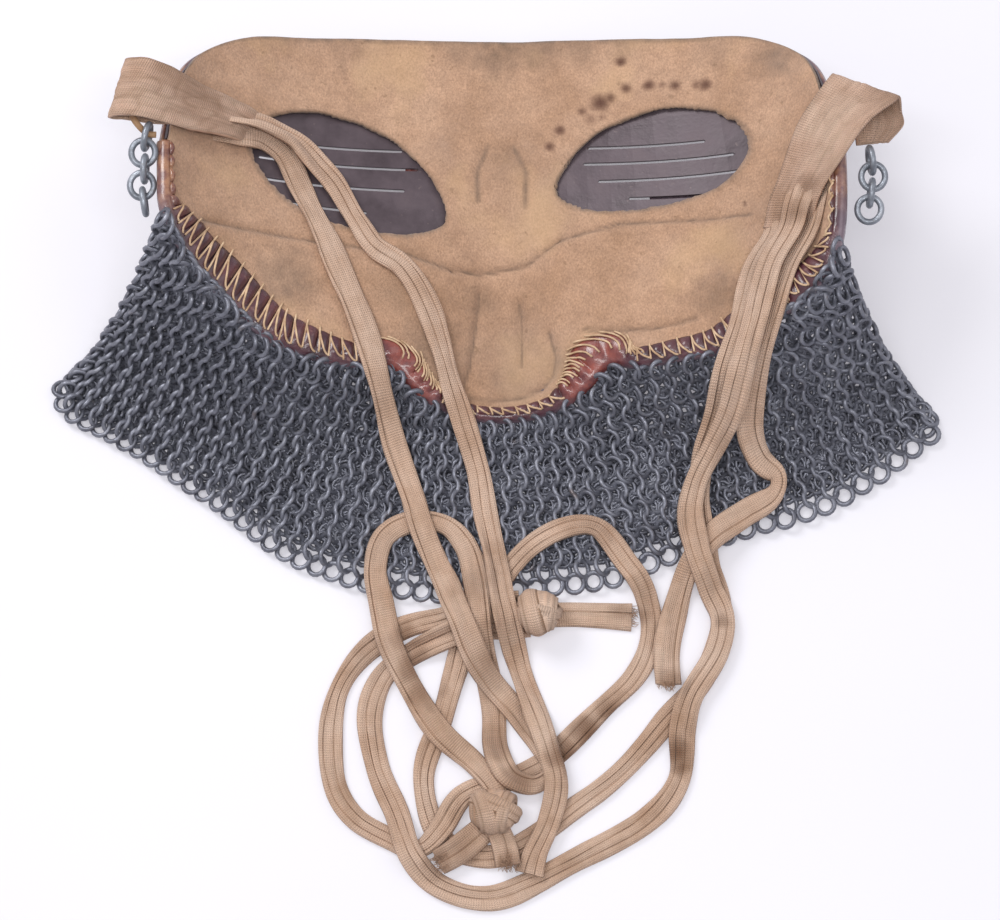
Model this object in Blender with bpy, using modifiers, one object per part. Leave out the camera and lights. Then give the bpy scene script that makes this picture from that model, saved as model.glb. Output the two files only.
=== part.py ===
"""Armoured face mask with a mail curtain, lying on its outer face with the inside up.

A curved steel face plate with sight slits is held between a leather cover, which is
rolled over the lower edge, and a chamois lining with two eye openings. A curtain of
mail hangs from the lower edge and spreads on the ground. A short chain of larger links
joins its corners to each temple, and a cotton tape is looped at each temple, with its
runs lying over the mask and on the ground, two of them ending in a knot.

Metres, +Z up, +Y towards the brow. The middle of the ground under the mask and its
mail is the origin.
"""

import math

import bmesh
import bpy
from mathutils import Matrix, Vector
from mathutils.bvhtree import BVHTree

# Mask
MASK_HALF_WIDTH = 0.105
BROW_Y = 0.0943
NOSE_Y = -0.0368
TEMPLE_RISE = 0.044
CURVE_REACH = 1.07
STEEPEST_SHARE = 0.985
CHEEK_LIFT = 0.012
CHEEK_LIFT_SHARE = 0.85
GROUND_CLEARANCE = 0.0001
# Shares of the mask's half width in a metre of the tables of links, thong, straps and tapes.
# A wider mask takes their upper parts outwards with it.
DRAWN_SHARES_PER_METRE = 9.5238
COLUMNS_PER_SIDE = 18
ROWS = 8

# Nose pouch, a hollow that widens and deepens from the eyes to the lower edge
NOSE_TOP_Y = 0.052
NOSE_DEPTH = 0.0112
NOSE_DEPTH_SHARE = 0.72
NOSE_HALF_WIDTH = 0.0245
NOSE_TOP_WIDTH_SHARE = 0.45
NOSE_FLANK_POWER = 3

# Layers of the mask
PLATE_THICKNESS = 0.001
COVER_THICKNESS = 0.0015
LINING_THICKNESS = 0.0012
LAYER_GAP = 0.0006
ROLL_RADIUS = 0.0019
ROLL_STEPS = 3
BAND_WIDTH = 0.008
BAND_GAP = 0.0005

# Eye openings, sight slits and eyelets
EYE_CENTRE_X = 0.049
EYE_HALF_WIDTH = 0.0315
EYE_HALF_HEIGHT = 0.0195
LEFT_EYE_Y = 0.0445
RIGHT_EYE_Y = 0.0485
EYE_STEPS = 2
SLIT_HEIGHT = 0.0011
EYELET_RADIUS = 0.0022
EYELET_INSET = 0.0045
CUTTER_OVERRUN = 0.01

# Mail curtain
MAIL_THICKNESS = 0.003
MAIL_HALF_WIDTH = 0.142
HEM_Y = -0.0943
LEFT_MAIL_TOP = 0.018
RIGHT_MAIL_TOP = 0.012
MAIL_COLUMNS = 34
MAIL_ROWS = 9
MAIL_EDGE_GAP = 0.0012
DRAPE_START = 0.010
DRAPE_RUN = 1.35
DRAPE_LONGEST = 0.92

# Temple chains
LINK_RADIUS = 0.0038
LINK_WIRE_RADIUS = 0.001
LINK_SIDES = 12
LINK_WIRE_SIDES = 5
THONG_RADIUS = 0.0012

# Tapes
STRAP_THICKNESS = 0.0018
STRAP_WIDTH = 0.0195
STRAP_ROWS = 20
TAPE_RADIUS = 0.002
TAPE_REST_GAP = 0.00035
TAPE_CROSSING_GAP = 0.0006
TAPE_POINT_SPACING = 0.012
TUBE_RESOLUTION = 2
TAPE_DROP_HEIGHT = 0.09
CROSSING_STEPS = 8
LIFT_PASSES = 6

# Knots
KNOT_SIDES = 12
KNOT_RINGS = 8
TAIL_WIDTH = 0.0085
TAIL_THICKNESS = 0.003

# Rows: share of the half width, share of the height from nose to brow.
BROW_EDGE = (
    (0.0, 1.0), (0.17, 1.0), (0.33, 0.995), (0.46, 0.988), (0.61, 0.971), (0.72, 0.957),
    (0.79, 0.939), (0.865, 0.902), (0.925, 0.853), (0.96, 0.79), (0.98, 0.70),
)
LEFT_LOWER_EDGE = (
    (0.0, 0.0), (0.086, 0.005), (0.171, 0.019), (0.238, 0.046), (0.286, 0.079), (0.318, 0.107),
    (0.35, 0.117), (0.40, 0.107), (0.476, 0.106), (0.543, 0.111), (0.652, 0.132), (0.705, 0.150),
    (0.78, 0.197), (0.848, 0.246), (0.905, 0.288), (0.952, 0.343), (0.979, 0.39), (0.995, 0.44),
    (1.0, 0.51), (1.005, 0.59),
)
RIGHT_LOWER_EDGE = (
    (0.0, 0.0), (0.086, 0.005), (0.171, 0.019), (0.238, 0.046), (0.286, 0.079), (0.318, 0.107),
    (0.35, 0.117), (0.40, 0.107), (0.476, 0.108), (0.543, 0.112), (0.638, 0.116), (0.707, 0.135),
    (0.78, 0.162), (0.86, 0.192), (0.928, 0.225), (0.962, 0.262), (0.985, 0.31), (1.0, 0.37),
    (1.008, 0.47), (1.01, 0.59),
)

# Rows: share of the half width, width of the rolled leather band as a share of BAND_WIDTH.
BAND_SHARES = (
    (0.0, 0.52), (0.17, 0.56), (0.25, 1.0), (0.31, 1.35), (0.36, 1.0), (0.41, 0.62),
    (0.55, 0.68), (0.70, 0.95), (0.85, 1.0), (0.95, 0.95), (1.0, 0.75),
)

# Rows: share of the eye's half width from its middle towards the temple, share of its half height.
LEFT_EYE = (
    (-1.0, -0.72), (-0.88, -0.15), (-0.72, 0.20), (-0.46, 0.60), (-0.14, 0.86), (0.29, 1.0),
    (0.73, 0.85), (1.0, 0.32), (0.86, -0.30), (0.58, -0.74), (0.30, -0.98), (-0.10, -1.06),
    (-0.50, -1.12), (-0.86, -0.98),
)
RIGHT_EYE = (
    (-0.98, -0.45), (-0.84, 0.05), (-0.66, 0.40), (-0.46, 0.64), (-0.12, 0.85), (0.22, 0.92),
    (0.60, 0.78), (0.92, 0.36), (0.98, -0.16), (0.78, -0.58), (0.52, -0.78), (0.10, -0.90),
    (-0.36, -0.92), (-0.76, -0.80),
)

# Rows: share of the eye's half width at the inner and the outer end, share of its half height there.
LEFT_SLITS = (
    (-0.55, 0.36, 0.48, 0.41),
    (-0.72, 0.90, 0.15, 0.05),
    (-0.58, 0.86, -0.26, -0.33),
    (-0.20, 0.64, -0.72, -0.70),
)
RIGHT_SLITS = (
    (-0.66, 0.55, 0.35, 0.25),
    (-0.70, 0.83, 0.05, -0.08),
    (-0.55, 0.90, -0.29, -0.41),
    (-0.24, 0.52, -0.65, -0.75),
)

# Rows: share of the mail's half width, share of the way from the mask's nose to the hem.
MAIL_HEM = (
    (-1.0, -0.20), (-0.985, -0.06), (-0.89, 0.065), (-0.80, 0.20), (-0.72, 0.34), (-0.63, 0.49),
    (-0.53, 0.69), (-0.46, 0.80), (-0.39, 0.87), (-0.30, 0.945), (-0.15, 1.0), (0.0, 0.995),
    (0.14, 0.96), (0.25, 0.92), (0.36, 0.81), (0.50, 0.68), (0.59, 0.61), (0.66, 0.565),
    (0.75, 0.48), (0.82, 0.37), (0.88, 0.275), (0.92, 0.19), (0.975, 0.09), (1.0, 0.0),
)

# Middle of each link, from the tape down to the mail. The first stands on edge, and every
# second one lies flat.
LEFT_LINKS = (
    (-0.1092, 0.0411, 0.0550), (-0.1103, 0.0362, 0.0540), (-0.1098, 0.0313, 0.0528),
    (-0.1107, 0.0264, 0.0515), (-0.1100, 0.0215, 0.0502),
)
RIGHT_LINKS = (
    (0.1145, 0.0335, 0.0545), (0.1152, 0.0286, 0.0533), (0.1145, 0.0237, 0.0520),
    (0.1140, 0.0188, 0.0507),
)

# Thin thong from inside the left loop, through the first link, to the eyelet.
THONG = (
    (-0.1142, 0.0485, 0.0590), (-0.1125, 0.0448, 0.0582), (-0.1092, 0.0420, 0.0556),
    (-0.1064, 0.0418, 0.0548),
)

# Middle line of each strap from inside the loop, round its end and over the mask: place, width
# as a share of STRAP_WIDTH and the direction across it.
LEFT_STRAP = (
    ((-0.0965, 0.0548, 0.0458), 0.86, (-0.10, 1.0, -0.03)),
    ((-0.1010, 0.0552, 0.0507), 0.88, (-0.05, 1.0, -0.07)),
    ((-0.1060, 0.0553, 0.0538), 0.96, (0.10, 1.0, 0.0)),
    ((-0.1130, 0.0556, 0.0562), 1.0, (0.25, 1.0, 0.0)),
    ((-0.1180, 0.0553, 0.0585), 1.0, (0.25, 1.0, 0.0)),
    ((-0.1165, 0.0552, 0.0613), 1.0, (0.24, 1.0, 0.0)),
    ((-0.1110, 0.0551, 0.0614), 1.0, (0.20, 1.0, 0.0)),
    ((-0.1050, 0.0547, 0.0577), 0.96, (0.14, 1.0, 0.0)),
    ((-0.1000, 0.0543, 0.0528), 0.92, (0.10, 1.0, -0.05)),
    ((-0.0950, 0.0541, 0.0468), 0.86, (0.10, 1.0, -0.15)),
    ((-0.0890, 0.0540, 0.0398), 0.78, (0.10, 1.0, -0.24)),
    ((-0.0820, 0.0536, 0.0332), 0.68, (0.25, 1.0, -0.30)),
    ((-0.0750, 0.0528, 0.0272), 0.60, (0.42, 1.0, -0.36)),
)
RIGHT_STRAP = (
    ((0.1152, 0.0386, 0.0555), 0.50, (1.0, 0.10, 0.0)),
    ((0.1170, 0.0455, 0.0560), 0.80, (1.0, -0.12, 0.0)),
    ((0.1150, 0.0520, 0.0565), 1.0, (1.0, -0.35, 0.0)),
    ((0.1135, 0.0560, 0.0588), 1.1, (1.0, -0.42, 0.1)),
    ((0.1110, 0.0535, 0.0615), 1.15, (1.0, -0.40, 0.2)),
    ((0.1030, 0.0450, 0.0585), 1.15, (1.0, -0.20, 0.5)),
    ((0.0965, 0.0330, 0.0528), 1.12, (1.0, -0.05, 0.75)),
    ((0.0915, 0.0240, 0.0478), 1.0, (1.0, -0.05, 0.85)),
    ((0.0885, 0.0158, 0.0448), 0.88, (1.0, -0.15, 0.75)),
)

# Plan of each tape on the ground and over the mask, x and y, in the order in which they were laid.
UNDER_ROUTE = (
    (0.0850, 0.0142), (0.079, 0.004), (0.075, -0.012), (0.0705, -0.026), (0.068, -0.038),
    (0.064, -0.050), (0.063, -0.064), (0.065, -0.080), (0.070, -0.094), (0.069, -0.106),
    (0.062, -0.121), (0.051, -0.133), (0.039, -0.147), (0.025, -0.158), (0.011, -0.168),
    (-0.004, -0.1745), (-0.018, -0.169), (-0.024, -0.150), (-0.018, -0.131), (-0.014, -0.117),
    (-0.010, -0.103), (-0.001, -0.090), (0.009, -0.078), (0.021, -0.071), (0.031, -0.071),
    (0.039, -0.081), (0.046, -0.092), (0.047, -0.106), (0.042, -0.119), (0.030, -0.130),
    (0.017, -0.143), (0.008, -0.1485), (-0.002, -0.1518), (-0.0115, -0.156), (-0.018, -0.166),
    (-0.025, -0.172), (-0.033, -0.169), (-0.044, -0.163), (-0.051, -0.153), (-0.053, -0.140),
    (-0.051, -0.124), (-0.043, -0.111), (-0.031, -0.103), (-0.018, -0.099), (-0.006, -0.097),
    (0.0061, -0.096),
)
RIGHT_OUTER_ROUTE = (
    (0.0942, 0.0130), (0.0880, 0.002), (0.0835, -0.012), (0.0800, -0.027), (0.0785, -0.041),
    (0.082, -0.050), (0.088, -0.055), (0.0865, -0.061), (0.077, -0.067), (0.067, -0.074),
    (0.060, -0.083), (0.056, -0.094), (0.053, -0.108), (0.0525, -0.121),
)
RIGHT_INNER_ROUTE = (
    (0.0896, 0.0136), (0.0835, 0.003), (0.0793, -0.012), (0.0753, -0.026), (0.0722, -0.038),
    (0.067, -0.048), (0.062, -0.058), (0.060, -0.068), (0.062, -0.080), (0.066, -0.090),
    (0.070, -0.100), (0.068, -0.111), (0.060, -0.124), (0.057, -0.135), (0.0555, -0.150),
    (0.046, -0.163), (0.030, -0.172), (0.013, -0.181), (-0.003, -0.187), (-0.018, -0.184),
    (-0.027, -0.175), (-0.032, -0.161), (-0.038, -0.147), (-0.0405, -0.132), (-0.037, -0.119),
    (-0.028, -0.111), (-0.017, -0.106), (-0.006, -0.103), (0.0095, -0.102),
)
LEFT_OUTER_ROUTE = (
    (-0.0020, -0.1526), (-0.0085, -0.145), (-0.018, -0.136), (-0.029, -0.120), (-0.035, -0.107),
    (-0.038, -0.094), (-0.039, -0.084), (-0.036, -0.074), (-0.027, -0.069), (-0.017, -0.070),
    (-0.011, -0.077), (-0.008, -0.088), (-0.006, -0.103), (-0.004, -0.116), (-0.002, -0.130),
    (0.000, -0.142), (0.004, -0.1505), (0.0105, -0.151), (0.0110, -0.143), (0.004, -0.132),
    (-0.006, -0.116), (-0.013, -0.100), (-0.021, -0.080), (-0.027, -0.063), (-0.033, -0.046),
    (-0.037, -0.032), (-0.041, -0.017), (-0.046, -0.003), (-0.052, 0.012), (-0.058, 0.025),
    (-0.064, 0.037), (-0.069, 0.046), (-0.0750, 0.0500),
)
LEFT_INNER_ROUTE = (
    (-0.0733, 0.0546), (-0.065, 0.052), (-0.058, 0.045), (-0.052, 0.038), (-0.046, 0.027),
    (-0.040, 0.018), (-0.031, 0.012), (-0.024, 0.001), (-0.019, -0.013), (-0.015, -0.027),
    (-0.011, -0.040), (-0.007, -0.053), (-0.004, -0.069), (-0.001, -0.085), (0.002, -0.100),
    (0.006, -0.115), (0.011, -0.129), (0.015, -0.142), (0.0175, -0.153), (0.015, -0.164),
    (0.011, -0.173), (0.009, -0.180),
)
TAPES = (
    ("tape_right_under", UNDER_ROUTE),
    ("tape_right_outer", RIGHT_OUTER_ROUTE),
    ("tape_right_inner", RIGHT_INNER_ROUTE),
    ("tape_left_outer", LEFT_OUTER_ROUTE),
    ("tape_left_inner", LEFT_INNER_ROUTE),
)

# Rows: name, middle, half sizes, compass direction of the tail from +X in degrees, tail length.
KNOTS = (
    ("knot_right", (0.0130, -0.0990, 0.0092), (0.0078, 0.0072, 0.0058), 6, 0.030),
    ("knot_left", (-0.0020, -0.1615, 0.0066), (0.0080, 0.0066, 0.0062), -95, 0.020),
)


def catmull(points, at):
    """The point of a smooth curve through the points, at a position counted in points."""
    last = len(points) - 1
    i = min(int(at), last - 1)
    t = at - i
    before = points[max(i - 1, 0)]
    first = points[i]
    second = points[i + 1]
    after = points[min(i + 2, last)]
    return 0.5 * (
        2 * first
        + (second - before) * t
        + (2 * before - 5 * first + 4 * second - after) * t**2
        + (3 * first - before - 3 * second + after) * t**3
    )


def smooth_path(points, count):
    """That many points, evenly spaced along a smooth curve through the given ones."""
    fine = [catmull(points, k / 8) for k in range(8 * (len(points) - 1))]
    fine.append(points[-1])
    lengths = [0.0]
    for a, b in zip(fine, fine[1:]):
        lengths.append(lengths[-1] + (b - a).length)
    spaced = []
    j = 0
    for k in range(count):
        target = lengths[-1] * k / (count - 1)
        while j < len(fine) - 2 and lengths[j + 1] < target:
            j += 1
        share = (target - lengths[j]) / (lengths[j + 1] - lengths[j])
        spaced.append(fine[j].lerp(fine[j + 1], min(share, 1.0)))
    return spaced


def beside(place):
    """Place of a link or thong, moved out with the temple that it hangs at."""
    x, y, z = place
    moved = MASK_HALF_WIDTH - 1 / DRAWN_SHARES_PER_METRE
    return Vector((x + math.copysign(1, x) * moved, y, z))


def over_mask(x, share=1.0):
    """Distance from the middle, drawn out with the mask's width by that share."""
    return x * (1 + (DRAWN_SHARES_PER_METRE * MASK_HALF_WIDTH - 1) * share)


def path_length(points):
    fine = smooth_path(points, 12 * len(points))
    return sum((b - a).length for a, b in zip(fine, fine[1:]))


def ease(value):
    value = min(max(value, 0.0), 1.0)
    return value * value * (3 - 2 * value)


def table_value(rows, at):
    """Straight-line value between the rows of a two-column table."""
    for (x0, y0), (x1, y1) in zip(rows, rows[1:]):
        if at <= x1:
            return y0 + (y1 - y0) * (at - x0) / (x1 - x0)
    return rows[-1][1]


def plate_height(x, y):
    """Height of the middle of the face plate above the ground."""
    reach = MASK_HALF_WIDTH * CURVE_REACH
    across = 1 - math.sqrt(1 - min(abs(x) / reach, STEEPEST_SHARE) ** 2)
    across /= 1 - math.sqrt(1 - (1 / CURVE_REACH) ** 2)
    down = (BROW_Y - y) / (BROW_Y - NOSE_Y)
    lift = CHEEK_LIFT * ease(down / CHEEK_LIFT_SHARE)
    nose_down = (NOSE_TOP_Y - y) / (NOSE_TOP_Y - NOSE_Y)
    widening = (1 - NOSE_TOP_WIDTH_SHARE) * min(max(nose_down, 0.0), 1.0)
    half_width = NOSE_HALF_WIDTH * (NOSE_TOP_WIDTH_SHARE + widening)
    depth = NOSE_DEPTH * ease(nose_down / NOSE_DEPTH_SHARE)
    channel = depth / (1 + (abs(x) / half_width) ** NOSE_FLANK_POWER)
    underside = PLATE_THICKNESS / 2 + LAYER_GAP + COVER_THICKNESS + GROUND_CLEARANCE
    return underside + TEMPLE_RISE * across + lift - channel


def surface_normal(x, y):
    step = 0.0005
    slope_x = (plate_height(x + step, y) - plate_height(x - step, y)) / (2 * step)
    slope_y = (plate_height(x, y + step) - plate_height(x, y - step)) / (2 * step)
    return Vector((-slope_x, -slope_y, 1)).normalized()


def on_surface(x, y, offset=0.0):
    """Point over the plate's middle surface, raised along its normal."""
    return Vector((x, y, plate_height(x, y))) + surface_normal(x, y) * offset


def edge_points(rows, side, count):
    height = BROW_Y - NOSE_Y
    corners = [
        Vector((side * x * MASK_HALF_WIDTH, NOSE_Y + y * height, 0)) for x, y in rows
    ]
    return smooth_path(corners, count)


def across_mask(left_rows, right_rows):
    """Points of an edge from the left temple to the right one."""
    left = edge_points(left_rows, -1, COLUMNS_PER_SIDE + 1)
    right = edge_points(right_rows, 1, COLUMNS_PER_SIDE + 1)
    return left[::-1] + right[1:]


def lower_frames():
    """For each column: the lower edge's point, the direction out of the edge and the normal."""
    flat = across_mask(LEFT_LOWER_EDGE, RIGHT_LOWER_EDGE)
    points = [on_surface(p.x, p.y) for p in flat]
    frames = []
    for i, point in enumerate(points):
        along = points[min(i + 1, len(points) - 1)] - points[max(i - 1, 0)]
        normal = surface_normal(point.x, point.y)
        outward = along.cross(normal).normalized()
        frames.append((point, outward, normal))
    return frames


def band_width(x):
    return BAND_WIDTH * table_value(BAND_SHARES, min(abs(x) / MASK_HALF_WIDTH, 1.0))


def down_to(brow, end, rows, offset):
    """Points from the brow to an end point, over the plate's surface."""
    points = []
    for k in range(rows + 1):
        flat = brow.lerp(end, k / rows)
        points.append(on_surface(flat.x, flat.y, offset))
    return points


def add_mesh(name, vertices, faces, collection):
    mesh = bpy.data.meshes.new(name)
    mesh.from_pydata([tuple(v) for v in vertices], [], faces)
    mesh.update()
    obj = bpy.data.objects.new(name, mesh)
    collection.objects.link(obj)
    return obj


def add_sheet(name, columns, collection):
    """Open surface through columns of points, all with as many points."""
    rows = len(columns[0])
    vertices = [point for column in columns for point in column]
    faces = []
    for i in range(len(columns) - 1):
        for j in range(rows - 1):
            a = i * rows + j
            faces.append((a, a + 1, a + rows + 1, a + rows))
    obj = add_mesh(name, vertices, faces, collection)
    obj.data.shade_smooth()
    return obj


def thicken(obj, thickness, offset=0.0):
    solidify = obj.modifiers.new("thickness", "SOLIDIFY")
    solidify.thickness = thickness
    solidify.offset = offset


def combine(obj, other, operation, name):
    boolean = obj.modifiers.new(name, "BOOLEAN")
    boolean.operation = operation
    boolean.solver = "EXACT"
    boolean.object = other


def add_material(obj, name, colour, roughness, metallic=0.0):
    material = bpy.data.materials.get(name) or bpy.data.materials.new(name)
    material.use_nodes = True
    shader = material.node_tree.nodes["Principled BSDF"]
    shader.inputs["Base Color"].default_value = (*colour, 1)
    shader.inputs["Roughness"].default_value = roughness
    shader.inputs["Metallic"].default_value = metallic
    obj.data.materials.append(material)


def move_to(obj, collection):
    for owner in list(obj.users_collection):
        owner.objects.unlink(obj)
    collection.objects.link(obj)


def hide_helper(obj):
    obj.hide_render = True
    obj.display_type = "WIRE"


def mesh_from_curve(curve_object, collection):
    """The curve as a mesh with its caps welded on, in the same place."""
    bpy.context.view_layer.update()
    graph = bpy.context.evaluated_depsgraph_get()
    mesh = bpy.data.meshes.new_from_object(curve_object.evaluated_get(graph))
    welded = bmesh.new()
    welded.from_mesh(mesh)
    bmesh.ops.remove_doubles(welded, verts=welded.verts, dist=1e-6)
    bmesh.ops.recalc_face_normals(welded, faces=welded.faces)
    welded.to_mesh(mesh)
    welded.free()
    obj = bpy.data.objects.new(curve_object.name + "_solid", mesh)
    obj.matrix_world = curve_object.matrix_world.copy()
    collection.objects.link(obj)
    bpy.data.objects.remove(curve_object)
    return obj


def add_cutter(name, outline, depth, collection):
    """Upright prism through the whole mask, from a closed flat outline."""
    curve = bpy.data.curves.new(name, "CURVE")
    curve.dimensions = "2D"
    curve.fill_mode = "BOTH"
    curve.extrude = depth / 2
    spline = curve.splines.new("POLY")
    spline.points.add(len(outline) - 1)
    for point, place in zip(spline.points, outline):
        point.co = (place.x, place.y, 0, 1)
    spline.use_cyclic_u = True
    holder = bpy.data.objects.new(name, curve)
    holder.location.z = depth / 2 - CUTTER_OVERRUN / 2
    collection.objects.link(holder)
    cutter = mesh_from_curve(holder, collection)
    hide_helper(cutter)
    return cutter


def eye_outline(rows, side, centre_y):
    """Closed smooth outline of one eye opening."""
    corners = [
        Vector((
            side * (EYE_CENTRE_X + x * EYE_HALF_WIDTH),
            centre_y + y * EYE_HALF_HEIGHT,
            0,
        ))
        for x, y in rows
    ]
    looped = corners[-2:] + corners + corners[:3]
    return [
        catmull(looped, 2 + k / EYE_STEPS) for k in range(EYE_STEPS * len(corners))
    ]


def slit_outline(row, side, centre_y):
    """Long narrow outline with pointed ends, along a slightly tilted line."""
    inner, outer, inner_y, outer_y = row
    start, end = (
        Vector((
            side * (EYE_CENTRE_X + x * EYE_HALF_WIDTH),
            centre_y + y * EYE_HALF_HEIGHT,
            0,
        ))
        for x, y in ((inner, inner_y), (outer, outer_y))
    )
    along = (end - start).normalized()
    across = Vector((-along.y, along.x, 0)) * SLIT_HEIGHT / 2
    inset = along * SLIT_HEIGHT / 2
    return [
        start,
        start + inset - across,
        end - inset - across,
        end,
        end - inset + across,
        start + inset + across,
    ]


def add_eyelet_cutter(name, place, direction, collection):
    depth = CUTTER_OVERRUN + PLATE_THICKNESS + COVER_THICKNESS
    bpy.ops.mesh.primitive_cylinder_add(vertices=12, radius=EYELET_RADIUS, depth=depth)
    cutter = bpy.context.object
    cutter.name = name
    turn = direction.to_track_quat("Z", "Y").to_matrix().to_4x4()
    cutter.matrix_world = Matrix.Translation(place) @ turn
    move_to(cutter, collection)
    hide_helper(cutter)
    return cutter


def make_shells(parts, cutters):
    """Face plate, leather cover with its rolled lower edge, and chamois lining."""
    frames = lower_frames()
    brow = across_mask(BROW_EDGE, BROW_EDGE)
    roll_reach = ROLL_RADIUS + COVER_THICKNESS / 2
    cover_offset = -(PLATE_THICKNESS / 2 + LAYER_GAP + COVER_THICKNESS / 2)
    lining_offset = PLATE_THICKNESS / 2 + LAYER_GAP + LINING_THICKNESS / 2
    roll_middle = cover_offset + ROLL_RADIUS
    plate_columns = []
    cover_columns = []
    lining_columns = []
    for top, (edge, outward, normal) in zip(brow, frames):
        seam = edge - outward * roll_reach
        band_end = edge - outward * band_width(edge.x)
        lining_end = edge - outward * (band_width(edge.x) + BAND_GAP)
        plate_columns.append(down_to(top, seam, ROWS, 0.0))
        lining_columns.append(down_to(top, lining_end, ROWS, lining_offset))
        column = down_to(top, seam, ROWS, cover_offset)
        column.pop()
        middle = seam + normal * roll_middle
        for k in range(ROLL_STEPS + 1):
            turn = math.pi * (k / ROLL_STEPS - 0.5)
            spoke = math.cos(turn) * outward + math.sin(turn) * normal
            column.append(middle + ROLL_RADIUS * spoke)
        for share in (0.5, 1.0):
            flat = seam.lerp(band_end, share)
            column.append(on_surface(flat.x, flat.y, roll_middle + ROLL_RADIUS))
        cover_columns.append(column)
    plate = add_sheet("face_plate", plate_columns, parts)
    cover = add_sheet("leather_cover", cover_columns, parts)
    lining = add_sheet("chamois_lining", lining_columns, parts)
    thicken(plate, PLATE_THICKNESS)
    thicken(cover, COVER_THICKNESS)
    thicken(lining, LINING_THICKNESS)
    add_material(plate, "painted_steel", (0.07, 0.05, 0.058), 0.45, 0.6)
    add_material(cover, "burgundy_leather", (0.13, 0.045, 0.055), 0.35)
    add_material(lining, "chamois", (0.58, 0.38, 0.19), 0.95)
    depth = TEMPLE_RISE + CHEEK_LIFT + 2 * CUTTER_OVERRUN
    for label, side, rows, slits, centre_y, frame in (
        ("left", -1, LEFT_EYE, LEFT_SLITS, LEFT_EYE_Y, frames[0]),
        ("right", 1, RIGHT_EYE, RIGHT_SLITS, RIGHT_EYE_Y, frames[-1]),
    ):
        outline = eye_outline(rows, side, centre_y)
        opening = add_cutter(f"{label}_eye_cutter", outline, depth, cutters)
        combine(cover, opening, "DIFFERENCE", f"{label}_eye")
        combine(lining, opening, "DIFFERENCE", f"{label}_eye")
        for k, row in enumerate(slits):
            outline = slit_outline(row, side, centre_y)
            slit = add_cutter(f"{label}_slit_cutter_{k + 1}", outline, depth, cutters)
            combine(plate, slit, "DIFFERENCE", f"{label}_slit_{k + 1}")
        edge, outward, _ = frame
        hole = edge - outward * EYELET_INSET
        place = on_surface(hole.x, hole.y)
        direction = surface_normal(hole.x, hole.y)
        eyelet = add_eyelet_cutter(f"{label}_eyelet_cutter", place, direction, cutters)
        for shell in (plate, cover, lining):
            combine(shell, eyelet, "DIFFERENCE", f"{label}_eyelet")


def make_mail(parts):
    """Curtain as one sheet: level with the rolled edge at the top, flat on the ground at the hem."""
    frames = lower_frames()
    first = next(i for i, frame in enumerate(frames) if frame[0].y < LEFT_MAIL_TOP)
    last = max(i for i, frame in enumerate(frames) if frame[0].y < RIGHT_MAIL_TOP)
    tops = [
        point + outward * MAIL_EDGE_GAP
        for point, outward, _ in frames[first : last + 1]
    ]
    tops = smooth_path(tops, MAIL_COLUMNS + 1)
    hem = smooth_path(
        [
            Vector((x * MAIL_HALF_WIDTH, NOSE_Y + y * (HEM_Y - NOSE_Y), 0))
            for x, y in MAIL_HEM
        ],
        MAIL_COLUMNS + 1,
    )
    columns = []
    for top, end in zip(tops, hem):
        drop = max(top.z - MAIL_THICKNESS / 2, 0.0)
        run = math.hypot(end.x - top.x, end.y - top.y)
        landing = min((DRAPE_START + DRAPE_RUN * drop) / run, DRAPE_LONGEST)
        column = []
        for k in range(MAIL_ROWS + 1):
            share = k / MAIL_ROWS
            flat = top.lerp(end, share)
            fall = max(1 - share / landing, 0.0) ** 2
            column.append(Vector((flat.x, flat.y, drop * fall)))
        columns.append(column)
    mail = add_sheet("mail_curtain", columns, parts)
    thicken(mail, MAIL_THICKNESS, 1.0)
    add_material(mail, "mail_steel", (0.11, 0.12, 0.14), 0.45, 0.8)


def make_links(label, middles, parts):
    """Interlocked rings: odd ones stand on edge along the chain, even ones lie flat."""
    places = [beside(middle) for middle in middles]
    for k, place in enumerate(places):
        along = places[min(k + 1, len(places) - 1)] - places[max(k - 1, 0)]
        across = along.cross(Vector((0, 0, 1))).normalized()
        facing = across if k % 2 == 0 else across.cross(along).normalized()
        bpy.ops.mesh.primitive_torus_add(
            major_radius=LINK_RADIUS,
            minor_radius=LINK_WIRE_RADIUS,
            major_segments=LINK_SIDES,
            minor_segments=LINK_WIRE_SIDES,
        )
        link = bpy.context.object
        link.name = f"{label}_link_{k + 1}"
        turn = facing.to_track_quat("Z", "Y").to_matrix().to_4x4()
        link.matrix_world = Matrix.Translation(place) @ turn
        link.data.shade_smooth()
        move_to(link, parts)
        add_material(link, "link_steel", (0.16, 0.18, 0.21), 0.4, 0.8)


def add_tube(name, points, radius, parts):
    curve = bpy.data.curves.new(name, "CURVE")
    curve.dimensions = "3D"
    curve.bevel_depth = radius
    curve.bevel_resolution = TUBE_RESOLUTION
    curve.use_fill_caps = True
    spline = curve.splines.new("POLY")
    spline.points.add(len(points) - 1)
    for point, place in zip(spline.points, points):
        point.co = (*place, 1)
    tube = bpy.data.objects.new(name, curve)
    parts.objects.link(tube)
    return tube


def make_thong(parts):
    points = smooth_path([beside(place) for place in THONG], 2 * len(THONG))
    thong = add_tube("left_thong", points, THONG_RADIUS, parts)
    add_material(thong, "tan_leather", (0.45, 0.28, 0.16), 0.6)


def make_strap(name, rows, parts):
    """Cotton tape looped at a temple: one open ribbon, wide at the loop and gathered at its end."""
    edges = []
    for side in (-0.5, 0.0, 0.5):
        corners = [
            Vector((over_mask(x), y, z))
            + Vector(across).normalized() * (side * share * STRAP_WIDTH)
            for (x, y, z), share, across in rows
        ]
        edges.append(smooth_path(corners, STRAP_ROWS))
    strap = add_sheet(name, edges, parts)
    thicken(strap, STRAP_THICKNESS)
    add_material(strap, "cotton_tape", (0.62, 0.40, 0.26), 0.9)


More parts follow.
